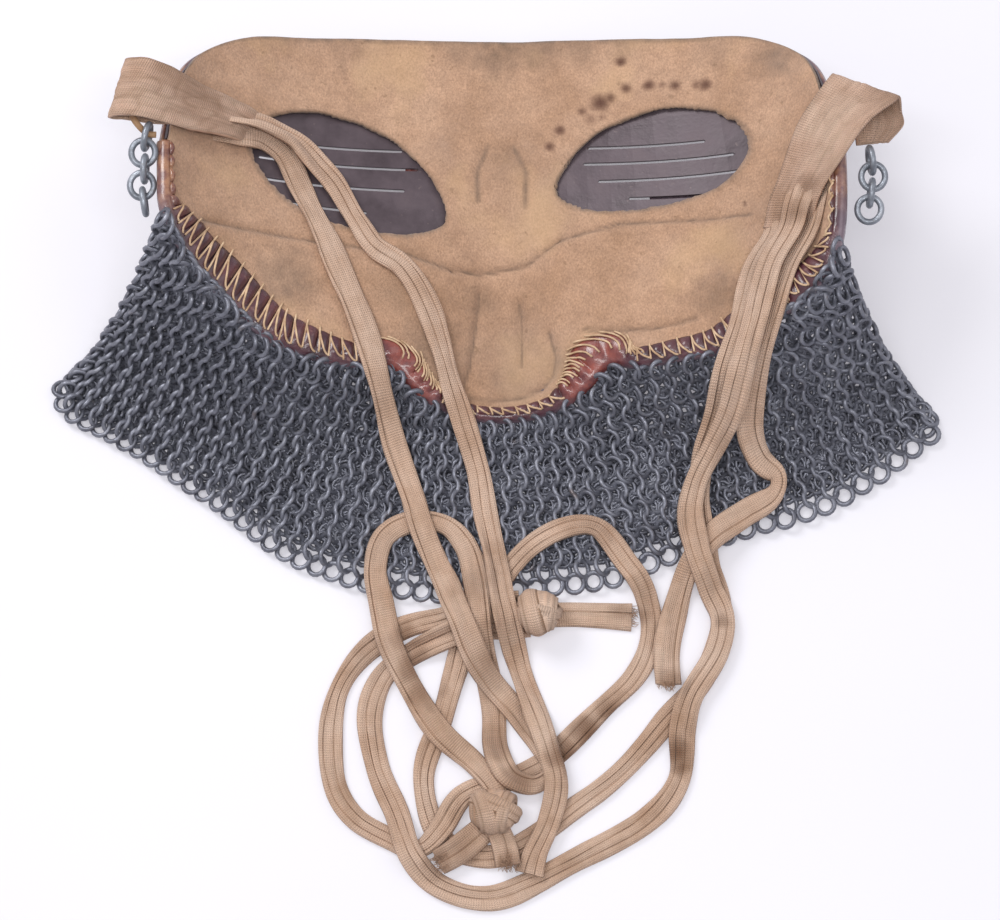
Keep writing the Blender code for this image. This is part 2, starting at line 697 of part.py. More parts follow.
def solid_trees(parts):
    """Search trees of what the tapes rest on."""
    bpy.context.view_layer.update()
    graph = bpy.context.evaluated_depsgraph_get()
    names = ("leather_cover", "chamois_lining", "face_plate", "mail_curtain")
    return [BVHTree.FromObject(parts.objects[name], graph) for name in names]


def resting_height(x, y, trees, laid):
    """Height of a tape's middle where it lies on the ground, on a solid or on the tapes below."""
    height = TAPE_DROP_HEIGHT
    while True:
        place = Vector((x, y, height))
        nearest = min(tree.find_nearest(place)[3] for tree in trees)
        free = min(nearest, height) - TAPE_RADIUS - TAPE_REST_GAP
        if free < 1e-5:
            break
        height -= free
    apart = 2 * TAPE_RADIUS + TAPE_CROSSING_GAP
    for other in laid:
        sideways = math.hypot(other.x - x, other.y - y)
        if sideways < apart:
            height = max(height, other.z + math.sqrt(apart**2 - sideways**2))
    return height


def between(points, steps):
    """The points with more of them on the straight lines between."""
    fine = []
    for a, b in zip(points, points[1:]):
        fine += [a.lerp(b, k / steps) for k in range(steps)]
    return fine + [points[-1]]


def lay_tape(route, trees, laid):
    """Middle line of a tape: its plan, with heights that clear everything under it."""
    plan = [
        Vector((over_mask(x, ease((y - NOSE_Y) / -NOSE_Y)), y, 0)) for x, y in route
    ]
    count = round(path_length(plan) / TAPE_POINT_SPACING)
    stations = smooth_path(plan, count)
    fine = between(stations, CROSSING_STEPS)
    skip = 2 * CROSSING_STEPS
    own = []
    needed = []
    for place in fine:
        height = resting_height(place.x, place.y, trees, laid + own[:-skip])
        needed.append(height)
        own.append(Vector((place.x, place.y, height)))
    heights = needed[::CROSSING_STEPS]
    for _ in range(LIFT_PASSES):
        for i, least in enumerate(needed[:-1]):
            a = i // CROSSING_STEPS
            share = (i % CROSSING_STEPS) / CROSSING_STEPS
            lack = least - heights[a] * (1 - share) - heights[a + 1] * share
            if lack > 0:
                heights[a] += lack
                heights[a + 1] += lack * (share > 0)
    return [Vector((p.x, p.y, height)) for p, height in zip(stations, heights)]


def make_tapes(parts):
    trees = solid_trees(parts)
    laid = []
    for name, route in TAPES:
        points = lay_tape(route, trees, laid)
        tape = add_tube(name, points, TAPE_RADIUS, parts)
        add_material(tape, "cotton_tape", (0.62, 0.40, 0.26), 0.9)
        laid += between(points, CROSSING_STEPS)


def make_knots(parts, cutters):
    """Each knot is a rounded lump with a flat tail grown out of it."""
    for name, middle, half_sizes, degrees, length in KNOTS:
        bpy.ops.mesh.primitive_uv_sphere_add(segments=KNOT_SIDES, ring_count=KNOT_RINGS)
        knot = bpy.context.object
        knot.name = name
        turn = Matrix.Rotation(math.radians(degrees), 4, "Z")
        knot.matrix_world = (
            Matrix.Translation(middle) @ turn @ Matrix.Diagonal((*half_sizes, 1))
        )
        knot.data.shade_smooth()
        move_to(knot, parts)
        bpy.ops.mesh.primitive_cube_add(size=1)
        tail = bpy.context.object
        tail.name = f"{name}_tail"
        size = Matrix.Diagonal((length, TAIL_WIDTH, TAIL_THICKNESS, 1))
        start = Matrix.Translation((length / 2, 0, 0))
        tail.matrix_world = Matrix.Translation(middle) @ turn @ start @ size
        move_to(tail, cutters)
        hide_helper(tail)
        combine(knot, tail, "UNION", "tail")
        add_material(knot, "cotton_tape", (0.62, 0.40, 0.26), 0.9)


def clear_scene():
    for obj in list(bpy.data.objects):
        bpy.data.objects.remove(obj, do_unlink=True)


def make_collection(name):
    collection = bpy.data.collections.new(name)
    bpy.context.scene.collection.children.link(collection)
    return collection


def main():
    clear_scene()
    parts = make_collection("crew_mask")
    cutters = make_collection("cutters")
    make_shells(parts, cutters)
    make_mail(parts)
    make_links("left", LEFT_LINKS, parts)
    make_links("right", RIGHT_LINKS, parts)
    make_thong(parts)
    make_strap("left_tape_loop", LEFT_STRAP, parts)
    make_strap("right_tape_loop", RIGHT_STRAP, parts)
    make_tapes(parts)
    make_knots(parts, cutters)


main()
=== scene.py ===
"""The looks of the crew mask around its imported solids: cloth tapes, mail rings, hide and leather.

The mask lies on its outer face on a pale floor, and the camera looks down at it from the
side of the nose, as in the photograph. Metres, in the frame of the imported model. Tables inside
mm() and spots() are written in millimetres.
"""

import math

import bpy
import numpy as np
from mathutils import Matrix, Vector, noise
from mathutils.bvhtree import BVHTree


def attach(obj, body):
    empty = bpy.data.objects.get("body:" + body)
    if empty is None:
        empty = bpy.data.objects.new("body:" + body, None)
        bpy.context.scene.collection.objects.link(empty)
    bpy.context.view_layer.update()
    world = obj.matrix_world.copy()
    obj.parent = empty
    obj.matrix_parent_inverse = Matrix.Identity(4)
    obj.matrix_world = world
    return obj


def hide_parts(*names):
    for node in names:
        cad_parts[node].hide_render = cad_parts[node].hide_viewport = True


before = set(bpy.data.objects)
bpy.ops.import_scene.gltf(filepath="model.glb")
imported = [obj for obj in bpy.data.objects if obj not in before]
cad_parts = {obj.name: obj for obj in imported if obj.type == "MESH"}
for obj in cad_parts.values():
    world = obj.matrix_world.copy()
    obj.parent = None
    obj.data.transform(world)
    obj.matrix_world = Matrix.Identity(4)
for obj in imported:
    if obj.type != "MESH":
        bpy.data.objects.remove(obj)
RANDOM = np.random.default_rng(11)


def mm(*rows):
    """Rows of millimetres as metres."""
    return tuple(tuple(value * 0.001 for value in row) for row in rows)


def spots(*rows):
    """Rows of x, y and radius in millimetres and a strength, with the lengths as metres."""
    return tuple((x * 0.001, y * 0.001, size * 0.001, strength) for x, y, size, strength in rows)


# Camera, floor and light
CAMERA_PLACE = (0.0, -0.2806, 0.8693)
CAMERA_TARGET = (0.0, -0.0477, 0.0)
CAMERA_LENS = 101.25
CAMERA_SENSOR = 36.0
FLOOR_SIZE = 6.0
LAMPS = (
    ("key_lamp", (-0.05, -0.30, 1.25), (0.0, -0.03, 0.0), (1.1, 0.16), 6.6),
    ("side_lamp", (-0.65, 0.55, 0.9), (0.0, -0.03, 0.0), (0.5, 0.5), 7.6),
    ("fill_lamp", (0.8, 0.2, 0.9), (0.0, -0.03, 0.0), (0.8, 0.8), 1.9),
)
WORLD_COLOUR = (0.95, 0.95, 1.0)
WORLD_STRENGTH = 0.50
FLOOR_GLOW = 0.27

# Cloth tapes
TAPE_STEP = 0.0009
TAPE_LANES = 9
BAND_PARTS = (0.03, 0.12, 0.3, 0.5, 0.7, 0.88, 0.97)
LOOP_BLEND = 0.020
LOOP_SINK = 0.0010
TAPE_WINDOW = 4
TAPE_SELF_LAG = 0.022
TAPE_BODY = 0.0019
TAPE_EDGE = 0.0007
TAPE_REST = 0.0003
TAPE_BEND_PINCH = 0.55
TAPE_WIDTH_WAVE = 0.34
DROP_FROM = 0.15
LAID_REACH = 0.21
LAID_PITCH = 0.0006
FRAY_COUNT = 36
FRAY_LENGTHS = (0.0012, 0.0038)
FRAY_RADIUS = 0.00016
STRAP_END_LIFT = 0.0016
STRAP_STEPS = 150
STRAP_LANES = 29
STRAP_THICKNESS = 0.0011

KNOT_STEPS = 44
KNOT_LANES = 15

# Steps and fine shape of the mask's pieces
FINE_COLUMNS = 155
COVER_COLUMNS = 240
LINING_ROWS = 108
LINING_TUCK = 0.0012
CREASE_DEPTH = 1.8
COVER_ROWS = 10
ROLL_ROWS = 10
BAND_ROWS = 10
BAND_PUFF = 0.0017
BAND_SLACK = 0.35
BAND_DIP = 0.0004
EYE_RIM_REACH = 0.003
STITCH_PITCH = 0.0046
CLOSE_FROM = 0.022
CLOSE_TO = 0.042
# Rows: start as a share of the pitch, ends as shares of the band, slant, bow.
STITCHES = ((0.0, 1.12, -0.08, 0.16, 1.0), (0.02, 0.92, -0.05, 1.05, 2.3))
CLOSE_STITCHES = (
    (0.0, 1.12, 0.30, 0.9, 0.5), (0.33, 1.12, 0.35, 0.9, 0.5), (0.67, 1.12, 0.3, 0.9, 0.5),
)
THREAD_RADIUS = 0.00034
THREAD_STEPS = 14
LEFT_STITCH_TOP = 0.0215

# Mail rings
RING_COLUMNS = 54
RING_ROWS = 25
RING_LEAN = ((0.0, 50.0), (0.3, 44.0), (0.5, 40.0), (0.75, 38.0), (1.0, 34.0))
ROW_PITCH = ((0.0, 0.0034), (0.3, 0.0039), (0.5, 0.0044), (0.75, 0.0044), (1.0, 0.0043))
RING_SPREAD = 0.2
RING_HEM = 0.0030
MAIL_LIFT = 0.0012
LOW_COURSE = 0.0016
LOW_OFFSETS = ((0.5, 0.0), (0.0, 0.5))
RING_RADIUS = 0.00292
RING_WIRE = 0.00080
RING_LIFT = 0.0020
RING_SEGMENTS = 16
RING_SIDES = 6
LONE_RINGS = ((0.1363, -0.0373),)
LOW_SEGMENTS = 12
LOW_SIDES = 4
LOW_LEAN = 6
LINK_SEGMENTS = 32
LINK_SIDES = 10
LINK_DRAWN = (1.03, 0.97)

# Sizes of the mask, mail, links and straps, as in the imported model
MASK_HALF_WIDTH = 0.105
BROW_Y = 0.0943
NOSE_Y = -0.0368
TEMPLE_RISE = 0.044
CURVE_REACH = 1.07
STEEPEST_SHARE = 0.985
CHEEK_LIFT = 0.012
CHEEK_LIFT_SHARE = 0.85
GROUND_CLEARANCE = 0.0001
COLUMNS_PER_SIDE = 18
NOSE_TOP_Y = 0.052
NOSE_DEPTH = 0.0112
NOSE_DEPTH_SHARE = 0.72
NOSE_HALF_WIDTH = 0.0245
NOSE_TOP_WIDTH_SHARE = 0.45
NOSE_FLANK_POWER = 3
PLATE_THICKNESS = 0.001
COVER_THICKNESS = 0.0015
LINING_THICKNESS = 0.0012
LAYER_GAP = 0.0006
ROLL_RADIUS = 0.0019
BAND_GAP = 0.0005
COVER_OFFSET = -(PLATE_THICKNESS / 2 + LAYER_GAP + COVER_THICKNESS / 2)
ROLL_MIDDLE = COVER_OFFSET + ROLL_RADIUS
ROLL_REACH = ROLL_RADIUS + COVER_THICKNESS / 2
EYE_CENTRE_X = 0.049
EYE_HALF_WIDTH = 0.0315
EYE_HALF_HEIGHT = 0.0195
LEFT_EYE_Y = 0.0445
RIGHT_EYE_Y = 0.0485
EYE_STEPS = 2
MAIL_THICKNESS = 0.003
MAIL_HALF_WIDTH = 0.142
HEM_Y = -0.0943
LEFT_MAIL_TOP = 0.018
RIGHT_MAIL_TOP = 0.012
MAIL_EDGE_GAP = 0.0012
DRAPE_START = 0.010
DRAPE_RUN = 1.35
DRAPE_LONGEST = 0.92
LINK_RADIUS = 0.0038
LINK_WIRE_RADIUS = 0.001
THONG_RADIUS = 0.0012
STRAP_WIDTH = 0.0195

# Rows: share of the half width, share of the height from nose to brow.
BROW_EDGE = (
    (0.0, 1.0), (0.17, 1.0), (0.33, 0.995), (0.46, 0.988), (0.61, 0.971), (0.72, 0.957),
    (0.79, 0.939), (0.865, 0.902), (0.925, 0.853), (0.96, 0.79), (0.98, 0.70),
)
NOSE_EDGE = (
    (0.0, 0.0), (0.086, 0.005), (0.171, 0.019), (0.238, 0.046), (0.286, 0.079), (0.318, 0.107),
    (0.35, 0.117), (0.40, 0.107),
)
LEFT_LOWER_EDGE = NOSE_EDGE + (
    (0.476, 0.106), (0.543, 0.111), (0.652, 0.132), (0.705, 0.150),
    (0.78, 0.197), (0.848, 0.246), (0.905, 0.288), (0.952, 0.343), (0.979, 0.39), (0.995, 0.44),
    (1.0, 0.51), (1.005, 0.59),
)
RIGHT_LOWER_EDGE = NOSE_EDGE + (
    (0.476, 0.108), (0.543, 0.112), (0.638, 0.116), (0.707, 0.135),
    (0.78, 0.162), (0.86, 0.192), (0.928, 0.225), (0.962, 0.262), (0.985, 0.31), (1.0, 0.37),
    (1.008, 0.47), (1.01, 0.59),
)

# Rows: share of the eye's half width from its middle towards the temple, share of its half
# height.
LEFT_EYE = (
    (-1.0, -0.72), (-0.88, -0.15), (-0.72, 0.20), (-0.46, 0.60), (-0.14, 0.86), (0.29, 1.0),
    (0.73, 0.85), (1.0, 0.32), (0.86, -0.30), (0.58, -0.74), (0.30, -0.98), (-0.10, -1.06),
    (-0.50, -1.12), (-0.86, -0.98),
)
RIGHT_EYE = (
    (-0.98, -0.45), (-0.84, 0.05), (-0.66, 0.40), (-0.46, 0.64), (-0.12, 0.85), (0.22, 0.92),
    (0.60, 0.78), (0.92, 0.36), (0.98, -0.16), (0.78, -0.58), (0.52, -0.78), (0.10, -0.90),
    (-0.36, -0.92), (-0.76, -0.80),
)

# Rows: share of the mail's half width, share of the way from the mask's nose to the hem.
MAIL_HEM = (
    (-1.0, -0.20), (-0.985, -0.06), (-0.89, 0.065), (-0.80, 0.20), (-0.72, 0.34), (-0.63, 0.49),
    (-0.53, 0.69), (-0.46, 0.80), (-0.39, 0.87), (-0.30, 0.945), (-0.15, 1.0), (0.0, 0.995),
    (0.14, 0.96), (0.25, 0.92), (0.36, 0.81), (0.50, 0.68), (0.59, 0.61), (0.66, 0.565),
    (0.75, 0.48), (0.82, 0.37), (0.88, 0.275), (0.92, 0.19), (0.975, 0.09), (1.0, 0.0),
)

# Middle of each link, from the tape down to the mail. The first stands on edge, and every
# second one lies flat.
LEFT_LINKS = mm(
    (-109.2, 41.1, 55), (-110.3, 36.2, 54), (-109.8, 31.3, 52.8), (-110.7, 26.4, 51.5),
    (-110, 21.5, 50.2),
)
RIGHT_LINKS = mm(
    (114.5, 33.5, 54.5), (115.2, 28.6, 53.3), (114.5, 23.7, 52), (114, 18.8, 50.7),
)

# Thin thong from inside the left loop, through the first link, to the eyelet.
THONG = mm(
    (-114.2, 48.5, 59), (-112.5, 44.8, 58.2), (-109.2, 42, 55.6), (-106.4, 41.8, 54.8),
)

# Middle line of each strap from inside the loop, round its end and over the mask: place, width
# as a share of STRAP_WIDTH and the direction across it.
LEFT_STRAP = (
    ((-0.0965, 0.0548, 0.0458), 0.86, (-0.10, 1.0, -0.03)),
    ((-0.1010, 0.0552, 0.0507), 0.88, (-0.05, 1.0, -0.07)),
    ((-0.1060, 0.0553, 0.0538), 0.96, (0.10, 1.0, 0.0)),
    ((-0.1130, 0.0556, 0.0562), 1.0, (0.25, 1.0, 0.0)),
    ((-0.1180, 0.0553, 0.0585), 1.0, (0.25, 1.0, 0.0)),
    ((-0.1165, 0.0552, 0.0613), 1.0, (0.24, 1.0, 0.0)),
    ((-0.1110, 0.0551, 0.0614), 1.0, (0.20, 1.0, 0.0)),
    ((-0.1050, 0.0547, 0.0577), 0.96, (0.14, 1.0, 0.0)),
    ((-0.1000, 0.0543, 0.0528), 0.92, (0.10, 1.0, -0.05)),
    ((-0.0950, 0.0541, 0.0468), 0.86, (0.10, 1.0, -0.15)),
    ((-0.0890, 0.0540, 0.0398), 0.78, (0.10, 1.0, -0.24)),
    ((-0.0820, 0.0536, 0.0332), 0.68, (0.25, 1.0, -0.30)),
    ((-0.0750, 0.0528, 0.0272), 0.60, (0.42, 1.0, -0.36)),
)
RIGHT_STRAP = (
    ((0.1152, 0.0386, 0.0555), 0.50, (1.0, 0.10, 0.0)),
    ((0.1170, 0.0455, 0.0560), 0.80, (1.0, -0.12, 0.0)),
    ((0.1150, 0.0520, 0.0565), 1.0, (1.0, -0.35, 0.0)),
    ((0.1135, 0.0560, 0.0588), 1.1, (1.0, -0.42, 0.1)),
    ((0.1110, 0.0535, 0.0615), 1.15, (1.0, -0.40, 0.2)),
    ((0.1030, 0.0450, 0.0585), 1.15, (1.0, -0.20, 0.5)),
    ((0.0965, 0.0330, 0.0528), 1.12, (1.0, -0.05, 0.75)),
    ((0.0915, 0.0240, 0.0478), 1.0, (1.0, -0.05, 0.85)),
    ((0.0885, 0.0158, 0.0448), 0.88, (1.0, -0.15, 0.75)),
)

# Plan of each tape on the ground and over the mask, x and y, in the order in which they were laid.
UNDER_ROUTE = mm(
    (93.2, 34.5), (87.2, 22.5), (85, 14.2), (79, 4), (75, -12), (70.5, -26),
    (68, -38), (64, -50), (63, -64), (65, -80), (70, -94), (69, -106),
    (62, -121), (51, -133), (39, -147), (25, -158), (11, -168), (-4, -174.5),
    (-18, -169), (-24, -150), (-18, -131), (-14, -117), (-10, -103),
    (-1, -90), (9, -78), (21, -71), (31, -71), (39, -81), (46, -92),
    (47, -106), (42, -119), (30, -130), (17, -143), (8, -148.5), (-2, -151.8),
    (-11.5, -156), (-18, -166), (-25, -172), (-33, -169), (-44, -163),
    (-51, -153), (-53, -140), (-51, -124), (-43, -111), (-31, -103),
    (-18, -99), (-6, -97), (6.1, -96),
)
RIGHT_OUTER_ROUTE = mm(
    (97.6, 27.5), (96.5, 21.5), (94.2, 13), (88, 2), (83.5, -12), (80, -27),
    (78.5, -41), (82, -50), (88, -55), (86.5, -61), (77, -67), (67, -74),
    (60, -83), (56, -94), (53, -108), (52.5, -121),
)
RIGHT_INNER_ROUTE = mm(
    (96.5, 34.5), (91.8, 22.2), (89.6, 13.6), (83.5, 3), (79.3, -12), (75.3, -26),
    (72.2, -38), (67, -48), (62, -58), (60, -68), (62, -80), (66, -90),
    (70, -100), (68, -111), (60, -124), (57, -135), (55.5, -150), (46, -163),
    (30, -172), (13, -181), (-3, -187), (-18, -184), (-27, -175),
    (-32, -161), (-38, -147), (-40.5, -132), (-37, -119), (-28, -111),
    (-17, -106), (-6, -103), (9.5, -102),
)
LEFT_OUTER_ROUTE = mm(
    (-0.5, -158), (-2, -152.6), (-8.5, -145), (-18, -136), (-29, -120),
    (-35, -107), (-38, -94), (-39, -84), (-36, -74), (-27, -69), (-17, -70),
    (-11, -77), (-8, -88), (-6, -103), (-4, -116), (-2, -130), (-1.2, -141.5),
    (3, -150), (10.5, -152.5), (15.8, -148), (12.5, -139.5), (5.5, -130), (-6, -116),
    (-13, -100), (-21, -80), (-27, -63), (-33, -46), (-37, -32), (-41, -17),
    (-46, -3), (-52, 12), (-58, 25), (-64, 37), (-69, 46), (-75, 50),
    (-81.5, 50.2), (-91, 51.2),
)
LEFT_INNER_ROUTE = mm(
    (-90, 57.2), (-81, 55.6), (-73.3, 54.6), (-65, 52), (-58, 45), (-52, 38),
    (-46, 27), (-40, 18), (-31, 12), (-24, 1), (-19, -13), (-15, -27),
    (-11, -40), (-7, -53), (-4, -69), (-1, -85), (2, -100), (6, -115),
    (11, -129), (15, -142), (17.5, -153), (15, -164), (11, -173), (9, -180),
)


# Rows: share of the half width, width of the visible leather band on that side.
LEFT_BAND = (
    (0.0, 0.0044), (0.17, 0.0048), (0.25, 0.0072), (0.31, 0.0090), (0.36, 0.0082), (0.41, 0.0066),
    (0.48, 0.0082), (0.60, 0.0104), (0.72, 0.0118), (0.85, 0.0136), (0.95, 0.0130), (0.985, 0.0100),
    (1.0, 0.0030),
)
RIGHT_BAND = (
    (0.0, 0.0044), (0.17, 0.0050), (0.25, 0.0090), (0.31, 0.0125), (0.36, 0.0095), (0.41, 0.0060),
    (0.48, 0.0064), (0.57, 0.0070), (0.65, 0.0080), (0.75, 0.0102), (0.85, 0.0118), (0.95, 0.0112),
    (0.985, 0.0080), (1.0, 0.0030),
)

# Rows: half width and depth of a crease or seam in the chamois, plan line, in millimetres.
CREASES = tuple(
    (mm(*line), half_width * 0.001, depth * 0.001)
    for half_width, depth, line in (
        (1.6, 0.5, ((-93.1, 17.7), (-78, 18.1), (-55.7, 17.7), (-31.2, 16.7), (-16.1, 12.6))),
        (1.6, 0.7, ((-16.1, 12.6), (-6, 12.6), (9.4, 15.4), (19.4, 21.9))),
        (1.3, 0.4, ((19.4, 21.9), (38.8, 26.3), (79.2, 23.5))),
        (3, 0.7, ((-6.6, 6), (-8.2, -7), (-10.1, -19.5), (-12, -25.5))),
        (2.6, 0.6, ((6.4, 3), (7.4, -7), (7, -18.5))),
        (2.8, 0.7, ((16.3, -8.5), (18.2, -16.5), (17.2, -22.8), (14, -26.2))),
        (1.4, 0.4, ((14, -26.2), (6, -29.2), (-3.5, -29.8), (-10.1, -29))),
        (1.4, 0.6, ((27, -8.5), (34, -10.2), (42, -10.5), (50, -10.7), (62, -8.7))),
        (4.5, 0.5, ((-4, 56), (-7.5, 47), (-7.2, 37))),
        (4.5, 0.5, ((4.5, 56), (8.5, 47), (8.2, 35))),
    )
)

# Rows: x, y, radius, strength.
CHAMOIS_STAINS = spots(
    (39.9, 85.2, 2.2, 0.95), (32.9, 70.9, 4.2, 0.95), (36.2, 72.5, 2.8, 0.85),
    (26.9, 68.1, 2.2, 0.8), (41.4, 75.4, 2.4, 0.95), (48.6, 75.6, 2.7, 0.95),
    (57.3, 74.4, 2.7, 0.95), (53, 75.2, 1.6, 0.7), (66.9, 72.9, 2.8, 0.9), (64, 73.5, 2, 0.7),
    (19.7, 61.5, 2.4, 0.9), (16.1, 55.6, 2.4, 0.9), (29.9, 65, 3, 0.5), (33.5, 65.5, 1.8, 0.6),
    (77.5, 27.5, 0.8, 0.9), (-88.5, 53, 0.9, 0.8), (75, 0.5, 0.8, 0.9),
)
# Dark spots on the chamois: grime, and painted shade in the nose hollows, at the corners and along
# the brow.
CHAMOIS_GRIME_AND_SHADE = spots(
    (0.5, -21.5, 10.5, 0.38), (-6, -12, 8, 0.28), (12, -12, 6, 0.25),
    (89.5, 78, 11, 0.55), (-66.9, 3.5, 12.5, 0.6), (-64, 0.5, 7, 0.55),
    (67.8, -2.4, 11, 0.45), (-1, 92.5, 14, 0.7), (14, 93.5, 12, 0.65),
    (-14, 93.5, 9, 0.55), (26, 93, 10, 0.5), (40, 93, 8, 0.4),
    (-50, 92.5, 9, 0.35), (-70, 92, 8, 0.35), (0, 48, 11, 0.3),
    (-6, 3, 8, 0.4), (-4, -12, 13, 0.3), (7, -6, 11, 0.35),
    (3, -24, 13, 0.25), (-22, -13, 12, 0.55), (-19, -24, 10, 0.5),
    (20, -18, 9, 0.35), (-33, 2, 10, 0.25), (70, 85, 9, 0.25),
)
TAPE_STAINS = spots(
    (-29.8, -106.9, 7, 0.6), (-26.2, -115, 8, 0.7), (-23.4, -122.8, 7.5, 0.6),
    (20.2, -143.2, 7.5, 0.85), (28, -136.5, 8.5, 0.85), (35.8, -130.7, 7.5, 0.8),
    (55.2, -142.3, 6, 0.8), (56, -147, 4, 0.7), (69.7, -101.2, 3, 0.5),
    (95, 26.6, 4.5, 0.45), (90.9, 18.2, 5, 0.55), (54, -120.5, 6, 0.6),
    (-41, -112, 10, 0.3), (30, -72, 11, 0.25), (46, -95, 10, 0.2),
    (-37, -78, 9, 0.2), (38, -97.5, 5, 0.45), (-12, -174, 7, 0.4),
    (-106, 60, 5, 0.15), (120, 52, 9, 0.35), (-18.5, -176.5, 6.5, 0.6),
    (3, -177.8, 6, 0.6), (6, -151, 7.5, 0.6), (-0.5, -140, 8, 0.45),
    (-4, -118, 9, 0.4), (-8, -90, 8, 0.35), (43.5, -99, 5, 0.6),
)

# Rows: tape, route, width, folds, seed, frayed ends as (end, a station before it).
TAPE_LOOKS = (
    ("tape_right_under", UNDER_ROUTE, 0.0072, (-0.35, 0.42), 1.0, ()),
    ("tape_right_outer", RIGHT_OUTER_ROUTE, 0.0082, (0.5,), 2.0, ((-1, -5),)),
    ("tape_right_inner", RIGHT_INNER_ROUTE, 0.0078, (-0.42, 0.22), 3.0, ()),
    ("tape_left_outer", LEFT_OUTER_ROUTE, 0.0078, (0.55,), 4.0, ()),
    ("tape_left_inner", LEFT_INNER_ROUTE, 0.0076, (-0.25, 0.45), 5.0, ()),
)

# Rows: knot, middle, half sizes, wound bands as (turn, lean, offset, width, reach), tails as
# (route, width).
KNOT_LOOKS = (
    (
        "knot_right",
        (0.0120, -0.0990, 0.0085),
        (0.0078, 0.0074, 0.0066),
        (
            (0, 8, 0.0, 3.0, 0.76), (-8, 0, 0.95, 0.50, 0.80), (12, 6, -0.42, 0.66, 0.88),
            (70, 20, 0.35, 0.40, 0.80),
        ),
        ((((0.0150, -0.0985), (0.0230, -0.0982), (0.0310, -0.0985), (0.0415, -0.0990)), 0.0082),),
    ),
    (
        "knot_left",
        (-0.0020, -0.1610, 0.0068),
        (0.0088, 0.0074, 0.0064),
        (
            (0, 8, 0.0, 3.0, 0.76), (62, 0, 0.30, 0.50, 0.84), (-14, 8, 0.66, 0.46, 0.84),
            (14, -5, -0.52, 0.52, 0.86),
        ),
        (
            (
                ((-0.0030, -0.1640), (-0.0080, -0.1690), (-0.0130, -0.1730), (-0.0190, -0.1765)),
                0.0080,
            ),
            (((-0.0010, -0.1650), (0.0010, -0.1700), (0.0020, -0.1740), (0.0025, -0.1775)), 0.0070),
        ),
    ),
)

# Rows: tape, the end of its route where it leaves the mask, far end, real length, knots on it.
TAPE_FACTS = (
    ("tape_right_under", "start", "knot", 0.657, ("knot_right",)),
    ("tape_right_outer", "start", "bare", 0.173, ()),
    ("tape_right_inner", "start", "knot", 0.406, ()),
    ("tape_left_outer", "end", "knot", 0.449, ("knot_left",)),
    ("tape_left_inner", "start", "bare", 0.275, ()),
)


def catmull(points, at):
    """The point of a smooth curve through the points, at a position counted in points."""
    last = len(points) - 1
    i = min(int(at), last - 1)
    t = at - i
    before = points[max(i - 1, 0)]
    first = points[i]
    second = points[i + 1]
    after = points[min(i + 2, last)]
    return 0.5 * (
        2 * first
        + (second - before) * t
        + (2 * before - 5 * first + 4 * second - after) * t**2
        + (3 * first - before - 3 * second + after) * t**3
    )


def smooth_path(points, count):
    """That many points, evenly spaced along a smooth curve through the given ones."""
    fine = [catmull(points, k / 8) for k in range(8 * (len(points) - 1))]
    fine.append(points[-1])
    lengths = [0.0]
    for a, b in zip(fine, fine[1:]):
        lengths.append(lengths[-1] + (b - a).length)
    spaced = []
    j = 0
    for k in range(count):
        target = lengths[-1] * k / (count - 1)
        while j < len(fine) - 2 and lengths[j + 1] < target:
            j += 1
        share = (target - lengths[j]) / (lengths[j + 1] - lengths[j])
        spaced.append(fine[j].lerp(fine[j + 1], min(share, 1.0)))
    return spaced


def heading(points, i):
    """The way from the point before i to the point after it."""
    return points[min(i + 1, len(points) - 1)] - points[max(i - 1, 0)]


def path_length(points):
    fine = smooth_path(points, 12 * len(points))
    return sum((b - a).length for a, b in zip(fine, fine[1:]))


def ease(value):
    value = min(max(value, 0.0), 1.0)
    return value * value * (3 - 2 * value)


def table_value(rows, at):
    """Straight-line value between the rows of a two-column table."""
    for (x0, y0), (x1, y1) in zip(rows, rows[1:]):
        if at <= x1:
            return y0 + (y1 - y0) * (at - x0) / (x1 - x0)
    return rows[-1][1]


def plate_height(x, y):
    """Height of the middle of the face plate above the ground."""
    reach = MASK_HALF_WIDTH * CURVE_REACH
    across = 1 - math.sqrt(1 - min(abs(x) / reach, STEEPEST_SHARE) ** 2)
    across /= 1 - math.sqrt(1 - (1 / CURVE_REACH) ** 2)
    down = (BROW_Y - y) / (BROW_Y - NOSE_Y)
    lift = CHEEK_LIFT * ease(down / CHEEK_LIFT_SHARE)
    nose_down = (NOSE_TOP_Y - y) / (NOSE_TOP_Y - NOSE_Y)
    widening = (1 - NOSE_TOP_WIDTH_SHARE) * min(max(nose_down, 0.0), 1.0)
    half_width = NOSE_HALF_WIDTH * (NOSE_TOP_WIDTH_SHARE + widening)
    depth = NOSE_DEPTH * ease(nose_down / NOSE_DEPTH_SHARE)
    channel = depth / (1 + (abs(x) / half_width) ** NOSE_FLANK_POWER)
    underside = PLATE_THICKNESS / 2 + LAYER_GAP + COVER_THICKNESS + GROUND_CLEARANCE
    return underside + TEMPLE_RISE * across + lift - channel


def surface_normal(x, y):
    step = 0.0005
    slope_x = (plate_height(x + step, y) - plate_height(x - step, y)) / (2 * step)
    slope_y = (plate_height(x, y + step) - plate_height(x, y - step)) / (2 * step)
    return Vector((-slope_x, -slope_y, 1)).normalized()


def on_surface(x, y, offset=0.0):
    """Point over the plate's middle surface, raised along its normal."""
    return Vector((x, y, plate_height(x, y))) + surface_normal(x, y) * offset


def edge_points(rows, side, count):
    height = BROW_Y - NOSE_Y
    corners = [
        Vector((side * x * MASK_HALF_WIDTH, NOSE_Y + y * height, 0)) for x, y in rows
    ]
    return smooth_path(corners, count)


def across_mask(left_rows, right_rows, count):
    """Points of an edge from the left temple to the right one, so many to each side."""
    left = edge_points(left_rows, -1, count + 1)
    right = edge_points(right_rows, 1, count + 1)
    return left[::-1] + right[1:]


